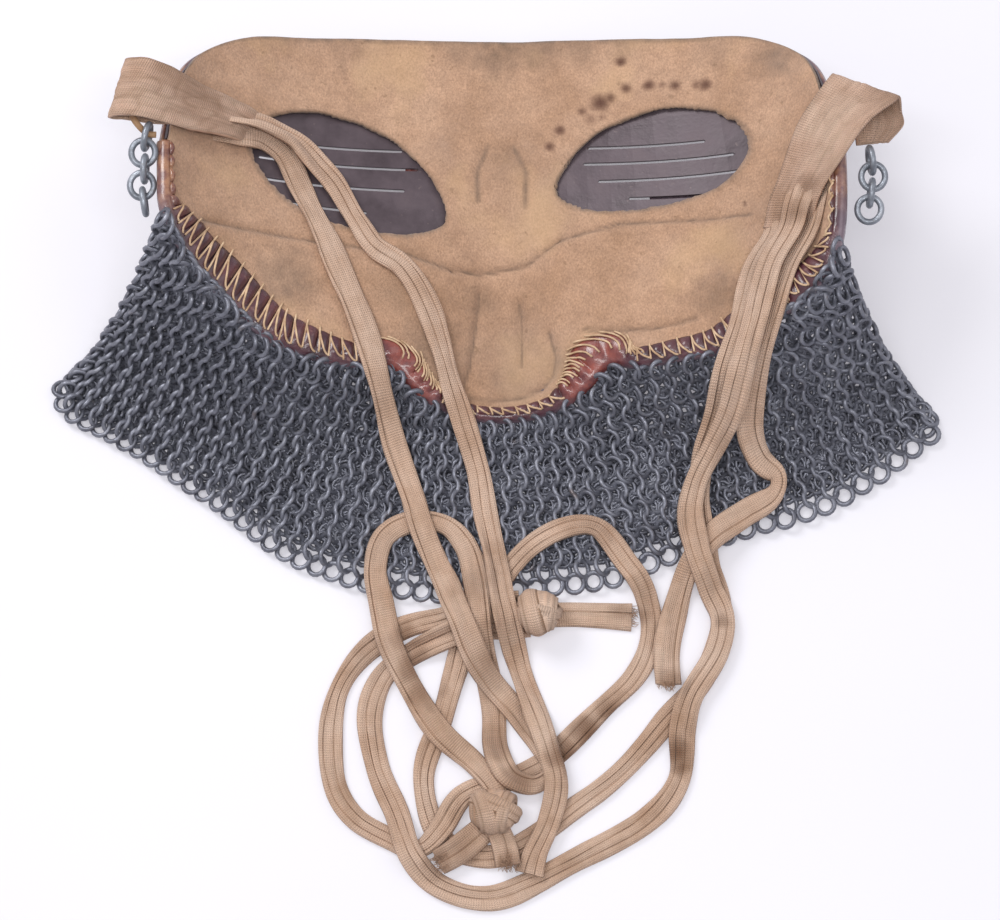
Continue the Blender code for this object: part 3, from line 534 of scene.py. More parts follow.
def lower_frames(count):
    """For each column: the lower edge's point, the direction out of the edge and the normal."""
    flat = across_mask(LEFT_LOWER_EDGE, RIGHT_LOWER_EDGE, count)
    points = [on_surface(p.x, p.y) for p in flat]
    frames = []
    for i, point in enumerate(points):
        normal = surface_normal(point.x, point.y)
        frames.append((point, heading(points, i).cross(normal).normalized(), normal))
    return frames


def band_puff(length):
    """Puff of the padded band between its stitches: 0 at a hole, 1 halfway to the next."""
    return abs(math.sin(math.pi * length / STITCH_PITCH)) ** 0.75


def band_bulge(share):
    """Profile of a puff across the band, from share 0 at its outer side."""
    return math.sin(math.pi * min(share * 0.93 + 0.07, 1.0)) ** 0.7


def band_width(x):
    rows = LEFT_BAND if x < 0 else RIGHT_BAND
    return table_value(rows, min(abs(x) / MASK_HALF_WIDTH, 1.0))


def eye_outline(rows, side, centre_y):
    """Closed smooth outline of one eye opening."""
    corners = [
        Vector((
            side * (EYE_CENTRE_X + x * EYE_HALF_WIDTH),
            centre_y + y * EYE_HALF_HEIGHT,
            0,
        ))
        for x, y in rows
    ]
    looped = corners[-2:] + corners + corners[:3]
    return [
        catmull(looped, 2 + k / EYE_STEPS) for k in range(EYE_STEPS * len(corners))
    ]



# Helpers
def hat(value, low, high):
    return ease((value - low) / (high - low))


def dent(x, y, line, half_width):
    """1 on a plan line, falling to 0 at a half width from it."""
    best = 1e9
    for (x0, y0), (x1, y1) in zip(line, line[1:]):
        dx = x1 - x0
        dy = y1 - y0
        share = ((x - x0) * dx + (y - y0) * dy) / (dx * dx + dy * dy)
        share = min(max(share, 0.0), 1.0)
        best = min(best, math.hypot(x - x0 - share * dx, y - y0 - share * dy))
    return 1 - ease(best / half_width) if best < half_width else 0.0


def lumps(x, y, size, seed=0.0):
    return noise.noise(Vector((x / size, y / size, seed)))


def build(name, vertices, faces, slot, material, *nodes):
    """A mesh piece that rides on the part's one body and stands for the nodes."""
    mesh = bpy.data.meshes.new(name)
    mesh.from_pydata([tuple(v) for v in vertices], [], faces)
    mesh.update()
    mesh.shade_smooth()
    mesh.materials.append(material)
    piece = bpy.data.objects.new(name, mesh)
    bpy.context.scene.collection.objects.link(piece)
    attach(piece, "root")
    if nodes:
        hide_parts(*nodes)
    return piece


def thicken(piece, thickness):
    solid = piece.modifiers.new("thickness", "SOLIDIFY")
    solid.thickness = thickness
    solid.offset = 0


def set_numbers(piece, name, values):
    """Store one number for each vertex, which the materials read."""
    layer = piece.data.attributes.new(name, "FLOAT", "POINT")
    layer.data.foreach_set("value", np.asarray(values, np.float32))


def set_uv(piece, values):
    layer = piece.data.uv_layers.new(name="along")
    corners = np.zeros(len(piece.data.loops), np.int32)
    piece.data.loops.foreach_get("vertex_index", corners)
    layer.data.foreach_set("uv", np.asarray(values, np.float32)[corners].ravel())


def grid_faces(columns, rows, closed_rows=False, closed_columns=False):
    faces = []
    for i in range(columns if closed_columns else columns - 1):
        ahead = (i + 1) % columns
        for j in range(rows if closed_rows else rows - 1):
            up = (j + 1) % rows
            faces.append(
                (i * rows + j, i * rows + up, ahead * rows + up, ahead * rows + j)
            )
    return faces


def add_grid(faces, start, columns, rows, **closed):
    for face in grid_faces(columns, rows, **closed):
        faces.append(tuple(start + v for v in face))


def rotated_frames(points):
    """Tangent, side and up along a line of points, turned as little as possible."""
    frames = []
    side = None
    for i in range(len(points)):
        along = heading(points, i).normalized()
        if side is None:
            side = along.cross(Vector((0.31, 0.17, 0.93))).normalized()
        side = (side - along * side.dot(along)).normalized()
        frames.append((along, side, along.cross(side)))
    return frames


def add_strand(vertices, faces, points, radius, sides=5, taper=0.0):
    """Round strand through the points, closed at both ends."""
    start = len(vertices)
    last = len(points) - 1
    for i, (point, (_, side, up)) in enumerate(zip(points, rotated_frames(points))):
        here = radius * (1 - taper * i / last)
        for k in range(sides):
            turn = 2 * math.pi * k / sides
            vertices.append(point + (side * math.cos(turn) + up * math.sin(turn)) * here)
    for i in range(last):
        for k in range(sides):
            a = start + i * sides + k
            b = start + i * sides + (k + 1) % sides
            faces.append((a, b, b + sides, a + sides))
    faces.append(tuple(start + k for k in reversed(range(sides))))
    faces.append(tuple(start + last * sides + k for k in range(sides)))


# Materials
class Nodes:
    """Short calls for building one material."""

    def __init__(self, name, **shader_values):
        self.material = bpy.data.materials.new(name)
        self.material.use_nodes = True
        self.tree = self.material.node_tree
        self.shader = self.tree.nodes["Principled BSDF"]
        for key, value in shader_values.items():
            self.shader.inputs[key.replace("_", " ").title()].default_value = value
        self.place = self.tree.nodes.new("ShaderNodeTexCoord").outputs["Object"]

    def add(self, kind, links=(), values=(), **settings):
        made = self.tree.nodes.new("ShaderNode" + kind)
        for key, value in settings.items():
            setattr(made, key, value)
        for key, value in dict(values).items():
            made.inputs[key].default_value = value
        for key, source in dict(links).items():
            self.tree.links.new(source, made.inputs[key])
        return made

    def noise(self, scale, detail=3.0, stretch=None, rough=0.6, source=None):
        place = source or self.place
        if stretch:
            place = self.add("Mapping", {"Vector": place}, {"Scale": stretch}).outputs[0]
        made = self.add(
            "TexNoise",
            {"Vector": place},
            {"Scale": scale, "Detail": detail, "Roughness": rough},
        )
        return made.outputs["Fac"]

    def ramp(self, source, *stops):
        made = self.add("ValToRGB", {"Fac": source})
        ramp = made.color_ramp
        while len(ramp.elements) < len(stops):
            ramp.elements.new(0.5)
        for element, (position, colour) in zip(ramp.elements, stops):
            element.position = position
            element.color = (*colour, 1) if len(colour) == 3 else colour
        return made.outputs["Color"]

    def level(self, source, low, high, start=0.0, end=1.0):
        made = self.add(
            "MapRange",
            {"Value": source},
            {"From Min": start, "From Max": end, "To Min": low, "To Max": high},
        )
        return made.outputs["Result"]

    def mix(self, fac, first, second, mode="MIX"):
        made = self.add("MixRGB", blend_type=mode)
        for key, value in (("Fac", fac), ("Color1", first), ("Color2", second)):
            if isinstance(value, (int, float)):
                made.inputs[key].default_value = value
            elif isinstance(value, tuple):
                made.inputs[key].default_value = (*value, 1)
            else:
                self.tree.links.new(value, made.inputs[key])
        return made.outputs["Color"]

    def number(self, name):
        return self.add("Attribute", attribute_name=name).outputs["Fac"]

    def math(self, operation, first, second):
        made = self.add("Math", operation=operation)
        for k, value in enumerate((first, second)):
            if isinstance(value, (int, float)):
                made.inputs[k].default_value = value
            else:
                self.tree.links.new(value, made.inputs[k])
        return made.outputs[0]

    def finish(self, colour, roughness=None, heights=()):
        self.tree.links.new(colour, self.shader.inputs["Base Color"])
        if roughness is not None:
            self.tree.links.new(roughness, self.shader.inputs["Roughness"])
        normal = None
        for height, distance, strength in heights:
            bump = self.add(
                "Bump", {"Height": height}, {"Distance": distance, "Strength": strength}
            )
            if normal is not None:
                self.tree.links.new(normal, bump.inputs["Normal"])
            normal = bump.outputs["Normal"]
        if normal is not None:
            self.tree.links.new(normal, self.shader.inputs["Normal"])
        return self.material


def chamois_material():
    m = Nodes("chamois_suede", roughness=0.95, sheen_weight=0.25, sheen_roughness=0.6)
    m.shader.inputs["Specular IOR Level"].default_value = 0.15
    patches = m.noise(38, 4)
    base = m.ramp(
        patches,
        (0.28, (0.40, 0.235, 0.145)),
        (0.5, (0.49, 0.30, 0.20)),
        (0.75, (0.58, 0.37, 0.255)),
    )
    mottle = m.noise(190, 4, None, 0.7)
    tones = m.ramp(mottle, (0.32, (0.80, 0.78, 0.74)), (0.68, (1.16, 1.14, 1.08)))
    base = m.mix(0.6, base, tones, "MULTIPLY")
    nap = m.noise(1700, 3, (1.0, 0.7, 1.0), 0.7)
    tones = m.ramp(nap, (0.3, (0.5, 0.49, 0.47)), (0.7, (1.2, 1.2, 1.2)))
    base = m.mix(0.62, base, tones, "MULTIPLY")
    smoke = m.noise(24, 5, None, 0.65)
    base = m.mix(m.level(smoke, 0.0, 0.45, 0.52, 0.74), base, (0.27, 0.19, 0.15))
    gold = m.noise(31, 3, None, 0.5)
    base = m.mix(m.level(gold, 0.0, 0.35, 0.55, 0.7), base, (0.62, 0.40, 0.21))
    specks = m.noise(420, 2)
    base = m.mix(m.level(specks, 0.0, 0.5, 0.66, 0.74), base, (0.22, 0.13, 0.07))
    # Grime together with painted shade in the creases, hollows and along the edges darkens the
    # chamois here.
    base = m.mix(m.number("grime_and_shade"), base, (0.13, 0.09, 0.065))
    base = m.mix(m.number("stain"), base, (0.085, 0.03, 0.018))
    fuzz = m.noise(1900, 4, None, 0.75)
    return m.finish(base, None, ((patches, 0.0012, 0.25), (nap, 0.0005, 0.5), (fuzz, 0.0003, 0.5)))


def leather_material():
    m = Nodes("burgundy_leather", roughness=0.3, coat_weight=0.6, coat_roughness=0.16)
    patches = m.noise(120, 4)
    base = m.ramp(
        patches,
        (0.3, (0.035, 0.010, 0.016)),
        (0.52, (0.085, 0.026, 0.036)),
        (0.75, (0.16, 0.055, 0.06)),
    )
    worn = m.noise(260, 3)
    base = m.mix(m.level(worn, 0.0, 0.75, 0.6, 0.72), base, (0.27, 0.14, 0.12))
    # Painted shade in the creases between the band's puffs and along its inner edge.
    base = m.mix(m.number("pinch_shade"), base, (0.012, 0.004, 0.006))
    tones = m.ramp(patches, (0.3, (0.13, 0.085, 0.11)), (0.7, (0.24, 0.175, 0.21)))
    base = m.mix(m.number("outer"), base, tones)
    tan = m.ramp(worn, (0.4, (0.17, 0.06, 0.04)), (0.6, (0.42, 0.21, 0.11)))
    base = m.mix(m.number("worn"), base, tan)
    tones = m.ramp(worn, (0.35, (0.13, 0.03, 0.03)), (0.7, (0.30, 0.075, 0.055)))
    base = m.mix(m.number("red"), base, tones)
    rough = m.level(m.noise(300, 3), 0.2, 0.5, 0.3, 0.7)
    grain = m.add("TexVoronoi", {"Vector": m.place}, {"Scale": 1500.0}).outputs["Distance"]
    return m.finish(base, rough, ((patches, 0.0006, 0.3), (grain, 0.0002, 0.35)))


def plate_material():
    m = Nodes("painted_plate", metallic=0.25, roughness=0.42)
    patches = m.noise(70, 5)
    base = m.ramp(
        patches,
        (0.3, (0.060, 0.043, 0.050)),
        (0.55, (0.105, 0.078, 0.090)),
        (0.8, (0.14, 0.105, 0.115)),
    )
    chips = m.noise(520, 3)
    base = m.mix(m.level(chips, 0.0, 0.8, 0.68, 0.72), base, (0.16, 0.12, 0.12))
    base = m.mix(m.number("stain"), base, (0.13, 0.035, 0.02))
    scratch = m.noise(260, 4, (0.12, 3.0, 1.0))
    rough = m.level(patches, 0.34, 0.55, 0.3, 0.7)
    bumps = ((patches, 0.0006, 0.3), (chips, 0.0002, 0.4), (scratch, 0.0001, 0.3))
    return m.finish(base, rough, bumps)


def steel_material(name, dark, middle, light, rough):
    m = Nodes(name, metallic=0.55, roughness=rough)
    patches = m.noise(190, 4)
    base = m.ramp(patches, (0.3, dark), (0.52, middle), (0.75, light))
    dust = m.noise(1300, 2)
    base = m.mix(m.level(dust, 0.0, 0.45, 0.6, 0.72), base, (0.23, 0.215, 0.19))
    rust = m.noise(90, 3)
    base = m.mix(m.level(rust, 0.0, 0.4, 0.68, 0.76), base, (0.14, 0.085, 0.05))
    shine = m.level(dust, rough - 0.08, rough + 0.16, 0.3, 0.7)
    return m.finish(base, shine, ((dust, 0.0002, 0.35),))


def cotton_material(name, dark, middle, light):
    m = Nodes(name, roughness=0.92, sheen_weight=0.12, sheen_roughness=0.5)
    m.shader.inputs["Specular IOR Level"].default_value = 0.2
    woven = m.add("UVMap", uv_map="along").outputs[0]
    patches = m.noise(55, 3)
    base = m.ramp(patches, (0.3, dark), (0.5, middle), (0.72, light))
    streaks = m.noise(700, 3, (1.0, 0.06, 1.0), source=woven)
    tones = m.ramp(streaks, (0.3, (0.72, 0.72, 0.72)), (0.7, (1.15, 1.15, 1.15)))
    base = m.mix(0.5, base, tones, "MULTIPLY")
    dirt = m.noise(42, 4, None, 0.6)
    base = m.mix(m.level(dirt, 0.0, 0.5, 0.52, 0.76), base, (0.38, 0.23, 0.145))
    threads = {"Distortion": 0.8, "Detail": 1.0, "Detail Scale": 2.0}
    weft, warp = (
        m.add(
            "TexWave", {"Vector": woven}, {"Scale": scale, **threads}, bands_direction=way
        ).outputs["Fac"]
        for scale, way in ((430.0, "Y"), (520.0, "X"))
    )
    weave = m.math("MULTIPLY", weft, warp)
    tones = m.ramp(weave, (0.0, (0.74, 0.70, 0.67)), (0.6, (1.14, 1.14, 1.14)))
    base = m.mix(0.75, base, tones, "MULTIPLY")
    # Painted shade in the folds, along the tape's edges and in the knots' creases.
    base = m.mix(m.number("fold"), base, (0.25, 0.135, 0.07))
    base = m.mix(m.number("stain"), base, (0.15, 0.062, 0.025))
    return m.finish(base, None, ((streaks, 0.0004, 0.4), (weave, 0.0005, 0.9)))


def thread_material():
    m = Nodes("cream_thread", roughness=0.7)
    base = m.ramp(m.noise(300, 2), (0.3, (0.42, 0.26, 0.15)), (0.7, (0.72, 0.52, 0.34)))
    twist = m.noise(2400, 1)
    return m.finish(base, None, ((twist, 0.0002, 0.5),))


def thong_material():
    m = Nodes("tan_thong", roughness=0.65)
    base = m.ramp(m.noise(240, 3), (0.3, (0.22, 0.115, 0.055)), (0.7, (0.50, 0.30, 0.16)))
    return m.finish(base, None, ((m.noise(1500, 3), 0.0003, 0.5),))


def floor_material():
    m = Nodes("pale_floor", roughness=0.75)
    base = m.ramp(m.noise(3, 2), (0.3, (0.57, 0.56, 0.60)), (0.7, (0.61, 0.60, 0.64)))
    m.shader.inputs["Emission Color"].default_value = (0.97, 0.95, 1.0, 1.0)
    m.shader.inputs["Emission Strength"].default_value = FLOOR_GLOW
    return m.finish(base)


# Camera, floor and light
def aim(thing, place, target):
    thing.location = place
    direction = Vector(target) - Vector(place)
    thing.rotation_euler = direction.to_track_quat("-Z", "Y").to_euler()
    bpy.context.scene.collection.objects.link(thing)


def make_camera():
    data = bpy.data.cameras.new("camera")
    data.sensor_fit = "HORIZONTAL"
    data.sensor_width = CAMERA_SENSOR
    data.lens = CAMERA_LENS
    camera = bpy.data.objects.new("camera", data)
    aim(camera, CAMERA_PLACE, CAMERA_TARGET)
    bpy.context.scene.camera = camera


def make_studio():
    reach = FLOOR_SIZE / 2
    mesh = bpy.data.meshes.new("floor")
    mesh.from_pydata(
        [(-reach, -reach, 0), (reach, -reach, 0), (reach, reach, 0), (-reach, reach, 0)],
        [],
        [(0, 1, 2, 3)],
    )
    floor = bpy.data.objects.new("floor", mesh)
    bpy.context.scene.collection.objects.link(floor)
    floor.data.materials.append(floor_material())
    for name, place, target, size, power in LAMPS:
        lamp = bpy.data.lights.new(name, "AREA")
        lamp.shape = "RECTANGLE"
        lamp.size, lamp.size_y = size
        lamp.energy = power
        aim(bpy.data.objects.new(name, lamp), place, target)
    world = bpy.data.worlds.new("studio")
    world.use_nodes = True
    sky = world.node_tree.nodes["Background"]
    sky.inputs["Color"].default_value = (*WORLD_COLOUR, 1)
    sky.inputs["Strength"].default_value = WORLD_STRENGTH
    bpy.context.scene.world = world
    bpy.context.scene.view_settings.view_transform = "Standard"


# Tapes
def node_tree_of(node):
    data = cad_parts[node].data
    return BVHTree.FromPolygons([v.co for v in data.vertices], [p.vertices for p in data.polygons])


def ground_height(x, y, trees):
    top = 0.0
    for tree in trees:
        hit = tree.ray_cast(Vector((x, y, DROP_FROM)), Vector((0, 0, -1)))[0]
        if hit is not None:
            over = MAIL_LIFT if tree is trees[-1] else 0.0
            top = max(top, hit.z + over)
    return top


def tape_plan(route, width, seed):
    """Evenly spaced centre points of a tape's plan, the way across and its two half widths."""
    plan = [Vector((x, y, 0)) for x, y in route]
    count = round(path_length(plan) / TAPE_STEP)
    points = smooth_path(plan, count + 1)
    flat = np.array([(p.x, p.y) for p in points])
    along = np.gradient(flat, axis=0)
    along /= np.linalg.norm(along, axis=1)[:, None]
    course = np.unwrap(np.arctan2(along[:, 1], along[:, 0]))
    kernel = np.ones(2 * TAPE_WINDOW + 1) / (2 * TAPE_WINDOW + 1)

    def smoothed(values):
        return np.convolve(np.pad(values, TAPE_WINDOW, "edge"), kernel, "valid")

    bend = smoothed(np.abs(np.gradient(smoothed(course))) / TAPE_STEP)
    tight = 1 / (1 + (bend * width * TAPE_BEND_PINCH) ** 2)
    across = np.stack([-along[:, 1], along[:, 0]], axis=1)
    halves = []
    for side in (0, 1):
        wave = [lumps(i * TAPE_STEP, side * 3.7, 0.021, seed) for i in range(count + 1)]
        halves.append(width / 2 * tight * (1 + TAPE_WIDTH_WAVE * np.array(wave)))
    return flat, across, halves


def top_profile(distance, seed, folds):
    """Samples over a folded tape's top: share of the half width, height share, painted fold shade.
    """
    drift = 0.22 * lumps(distance, 2.2, 0.07, seed)
    drawn = [
        fold
        + drift
        + 0.22 * lumps(distance, 1.3 + k, 0.04, seed)
        + 0.06 * lumps(distance, 5.1, 0.009, seed)
        for k, fold in enumerate(folds)
    ]
    bounds = [-1.0] + drawn + [1.0]
    samples = [(-1.0, 0.0, 0.25)]
    for k, (low, high) in enumerate(zip(bounds, bounds[1:])):
        lean = 0.55 * lumps(distance, 8.3 + k, 0.035, seed) + 0.2 * (-1) ** k
        level = 0.68 + 0.4 * lumps(distance, 3.7 + k, 0.03, seed)
        for part in BAND_PARTS:
            crown = 0.26 * math.sin(math.pi * part) + lean * (part - 0.5)
            crown += 0.12 * lumps(distance, part * 0.004 + k, 0.006, seed)
            # Painted shade at the edges of each band of the fold.
            rim = 0.25 * (abs(part - 0.5) > 0.45)
            samples.append((low + (high - low) * part, level + crown, rim))
        if k < len(folds):
            # Each fold's valley sinks and gets painted shade as dark as it is deep.
            deep = min(max(0.8 + 0.8 * lumps(distance, 6.1 + k, 0.02, seed), 0.25), 1.0)
            samples.append((high, level * (1 - deep * 0.9), deep))
    return samples + [(1.0, 0.0, 0.25)]


def across_spot(flat, across, halves, i, share):
    """A place across a tape at station i and its reach there, share -1 to 1."""
    reach = halves[0][i] if share > 0 else halves[1][i]
    return flat[i] + across[i] * reach * share, reach


def envelope(raw, at):
    """Height of a tape's underside at one station: a smooth line over everything below it."""
    low = max(at - 2 * TAPE_WINDOW, 0)
    high = min(at + 2 * TAPE_WINDOW + 1, len(raw))
    part = raw[low:high]
    tops = []
    for k in range(max(at - TAPE_WINDOW, 0), min(at + TAPE_WINDOW + 1, len(raw))):
        a = max(k - TAPE_WINDOW, 0) - low
        b = min(k + TAPE_WINDOW + 1, len(raw)) - low
        tops.append(part[a:b].max(axis=0))
    mean = np.mean(tops, axis=0)
    wide = np.maximum(mean, np.maximum(np.roll(mean, 1), np.roll(mean, -1)))
    wide[0] = max(mean[0], mean[1])
    wide[-1] = max(mean[-1], mean[-2])
    return 0.5 * (mean + wide)


def cell(x, y):
    return int(round((x + LAID_REACH) / LAID_PITCH)), int(round((y + LAID_REACH) / LAID_PITCH))


def splat(laid, x, y, height):
    i, j = cell(x, y)
    laid[i - 1 : i + 2, j - 1 : j + 2] = np.maximum(laid[i - 1 : i + 2, j - 1 : j + 2], height)


def lay_ribbon(flat, across, halves, thickness, trees, laid):
    """Underside heights of a tape over the mask, the mail, the ground and what lies there."""
    shares = np.linspace(-1, 1, TAPE_LANES)
    count = len(flat)
    raw = np.zeros((count, TAPE_LANES))
    lag = int(TAPE_SELF_LAG / TAPE_STEP)
    under = np.zeros((count, TAPE_LANES))

    def settle(at):
        under[at] = envelope(raw, at) + TAPE_REST
        for k, share in enumerate(shares):
            spot, _ = across_spot(flat, across, halves, at, share)
            splat(laid, spot[0], spot[1], under[at][k] + thickness)

    for i in range(count):
        if i >= lag:
            settle(i - lag)
        for k, share in enumerate(shares):
            spot, _ = across_spot(flat, across, halves, i, share)
            raw[i, k] = max(ground_height(spot[0], spot[1], trees), laid[cell(*spot)])
    for i in range(max(count - lag, 0), count):
        settle(i)
    return under


def stain_and_shade_spots(x, y, rows):
    """Share of the strongest spot at a place, from rows of x, y, radius and strength. The spots are
    real stains, and on the chamois also painted shade.
    """
    most = 0.0
    for sx, sy, radius, strength in rows:
        gap = math.hypot(x - sx, y - sy) * (1 + 0.35 * lumps(x, y, 0.004, sx))
        if gap < radius:
            most = max(most, strength * (1 - ease(gap / radius)) ** 0.6)
    return most


def ribbon_rings(vertices, folds, places, route, width, pleats, seed, trees, laid, loop_end):
    """Add a tape's rings of vertices. It returns its middle line, the ways across and ring size."""
    flat, across, halves = tape_plan(route, width, seed)
    under = lay_ribbon(flat, across, halves, TAPE_BODY, trees, laid)
    lanes = np.linspace(-1, 1, TAPE_LANES)
    lows = [(float(share), None, 0.0) for share in lanes[::-1][1:-1]]
    total = (len(flat) - 1) * TAPE_STEP
    middle = []
    for i in range(len(flat)):
        distance = i * TAPE_STEP
        from_loop = distance if loop_end == "start" else total - distance
        full = ease(from_loop / LOOP_BLEND) if loop_end else 1.0
        middle.append(Vector((*flat[i], float(under[i].mean()) + TAPE_BODY / 2)))
        ring = top_profile(distance, seed, pleats) + lows
        for share, lift, dark in ring:
            spot, reach = across_spot(flat, across, halves, i, share)
            z = float(np.interp(share, lanes, under[i])) - (1 - full) * LOOP_SINK
            if lift is not None:
                edge = TAPE_EDGE * (1 - abs(share) ** 12)
                z += full * (edge + (TAPE_BODY - TAPE_EDGE) * min(lift, 1.1))
            vertices.append(Vector((spot[0], spot[1], z)))
            folds.append(dark)
            places.append((share * reach, distance))
    return middle, across, len(ring)


def close_ribbon(faces, start, stations, size):
    last = start + (stations - 1) * size
    add_grid(faces, start, stations, size, closed_rows=True)
    faces.append(tuple(start + k for k in range(size)))
    faces.append(tuple(last + k for k in reversed(range(size))))


def dress_cloth(piece, vertices, folds, places):
    extra = len(vertices) - len(folds)
    # The fold numbers are painted shade in the cotton's colour.
    set_numbers(piece, "fold", folds + [0.1] * extra)
    set_numbers(piece, "stain", [stain_and_shade_spots(v[0], v[1], TAPE_STAINS) for v in vertices])
    set_uv(piece, places + [(0.0, 0.0)] * extra)


def make_ribbon(name, route, width, pleats, seed, material, trees, laid, frayed, loop_end):
    """One laid tape as a closed pleated ribbon. It returns the piece and its middle line."""
    vertices = []
    faces = []
    folds = []
    places = []
    middle, across, size = ribbon_rings(
        vertices, folds, places, route, width, pleats, seed, trees, laid, loop_end
    )
    close_ribbon(faces, 0, len(middle), size)
    for at, back in frayed:
        away = (middle[at] - middle[back]).normalized()
        side = Vector((*across[at], 0))
        add_fray(vertices, faces, middle[at], away, side, width * 0.42)
    piece = build(name + "_cloth", vertices, faces, "cotton_tape", material, name)
    dress_cloth(piece, vertices, folds, places)
    return piece, middle


def add_fray(vertices, faces, place, away, across, reach):
    """Loose threads from a cut end."""
    for _ in range(FRAY_COUNT):
        side = RANDOM.uniform(-1, 1)
        start = place + across * reach * side + Vector((0, 0, RANDOM.uniform(-0.0006, 0.0006)))
        length = RANDOM.uniform(*FRAY_LENGTHS)
        turn = RANDOM.uniform(-0.7, 0.7) + 0.5 * side
        direction = Matrix.Rotation(-turn, 3, "Z") @ away
        points = []
        for k in range(4):
            share = k / 3
            bow = across * math.sin(share * 2.2) * RANDOM.uniform(-0.0005, 0.0005)
            points.append(start - away * 0.001 + direction * length * share + bow)
        add_strand(vertices, faces, points, FRAY_RADIUS, 3, 0.5)


def make_knot(name, middle, half_sizes, wraps, tails, material, trees, laid):
    """Turban knot: rounded bands wound round a core, with flat tails coming out of it."""
    vertices = []
    faces = []
    folds = []
    places = []
    ends = []
    centre = Vector(middle)
    for azimuth, elevation, offset, width, reach in wraps:
        axis = Vector((
            math.cos(math.radians(elevation)) * math.cos(math.radians(azimuth)),
            math.cos(math.radians(elevation)) * math.sin(math.radians(azimuth)),
            math.sin(math.radians(elevation)),
        ))
        first = axis.cross(Vector((0, 0.1, 1))).normalized()
        second = axis.cross(first)
        start = len(vertices)
        for i in range(KNOT_STEPS):
            phi = 2 * math.pi * i / KNOT_STEPS
            ring = []
            for k in range(KNOT_LANES):
                share = 2 * k / (KNOT_LANES - 1) - 1
                round_off = math.sqrt(max(1 - share * share, 0.0))
                wave = math.sin(share * 6 + 2 * lumps(phi, share, 2.0, azimuth))
                # Painted shade at the edges of the wound bands and in their wrinkles; the inner
                # core rows get half shade.
                dark = max(0.9 * (abs(share) > 0.8), 0.55 * hat(-wave, 0.86, 1.0))
                ring.append((share, reach + 0.17 * round_off + 0.02 * wave, dark))
            ring += [(0.5, 0.5, 0.5), (-0.5, 0.5, 0.5)]
            for share, out, dark in ring:
                direction = first * math.cos(phi) + second * math.sin(phi)
                direction = (direction + axis * (offset + share * width)).normalized()
                spot = centre + Vector(d * h * out for d, h in zip(direction, half_sizes))
                spot.z = max(spot.z, 0.0003)
                vertices.append(spot)
                folds.append(dark)
                places.append((share * 0.004, phi * 0.006))
        add_grid(faces, start, KNOT_STEPS, KNOT_LANES + 2, closed_rows=True, closed_columns=True)
    for route, width in tails:
        start = len(vertices)
        line, across, size = ribbon_rings(
            vertices, folds, places, route, width, (0.15,), azimuth + 5.0, trees, laid, None
        )
        close_ribbon(faces, start, len(line), size)
        ends.append((line, across, width))
    for line, across, width in ends:
        away = (line[-1] - line[-4]).normalized()
        for back in (0.0, 0.0012, 0.0024):
            place = line[-1] - away * back
            side = Vector((*across[-1], 0))
            add_fray(vertices, faces, place, away, side, width * 0.45)
    piece = build(name + "_cloth", vertices, faces, "cotton_tape", material, name)
    dress_cloth(piece, vertices, folds, places)
    return piece


def make_cords(cotton):
    """The five tapes and the two knots, laid one after the other."""
    below = ("leather_cover", "chamois_lining", "face_plate", "mail_curtain")
    trees = [node_tree_of(name) for name in below]
    cells = int(2 * LAID_REACH / LAID_PITCH) + 8
    laid = np.full((cells, cells), -1.0)
    lines = {}
    tapes = {}
    for name, route, width, pleats, seed, frayed in TAPE_LOOKS:
        loop_end = next(row[1] for row in TAPE_FACTS if row[0] == name)
        tapes[name], lines[name] = make_ribbon(
            name, route, width, pleats, seed, cotton, trees, laid, frayed, loop_end
        )
    for name, middle, half_sizes, wraps, tails in KNOT_LOOKS:
        make_knot(name, middle, half_sizes, wraps, tails, cotton, trees, laid)


# Mask shells
def inside(x, y, outline):
    found = False
    for a, b in zip(outline, outline[1:] + outline[:1]):
        if (a.y > y) != (b.y > y) and x < a.x + (y - a.y) / (b.y - a.y) * (b.x - a.x):
            found = not found
    return found


def nearest_on(outline, x, y):
    best = None
    for a, b in zip(outline, outline[1:] + outline[:1]):
        dx = b.x - a.x
        dy = b.y - a.y
        share = min(max(((x - a.x) * dx + (y - a.y) * dy) / (dx * dx + dy * dy), 0), 1)
        px = a.x + share * dx
        py = a.y + share * dy
        gap = math.hypot(px - x, py - y)
        if best is None or gap < best[0]:
            best = (gap, px, py)
    return best


def fine_eyes():
    eyes = []
    for side, rows, centre_y in ((-1, LEFT_EYE, LEFT_EYE_Y), (1, RIGHT_EYE, RIGHT_EYE_Y)):
        outline = eye_outline(rows, side, centre_y)
        fine = smooth_path(outline + outline[:1], 160)[:-1]
        eyes.append(fine)
    return eyes


def lining_relief(x, y):
    """Height of the chamois above its plain surface: seams, creases and soft lumps."""
    height = 0.0
    for line, half_width, depth in CREASES:
        height -= CREASE_DEPTH * depth * dent(x, y, line, half_width)
    height += 0.00055 * lumps(x, y, 0.016, 1.0) + 0.00022 * lumps(x, y, 0.006, 2.0)
    height += 0.00006 * lumps(x, y, 0.0022, 3.0)
    return height


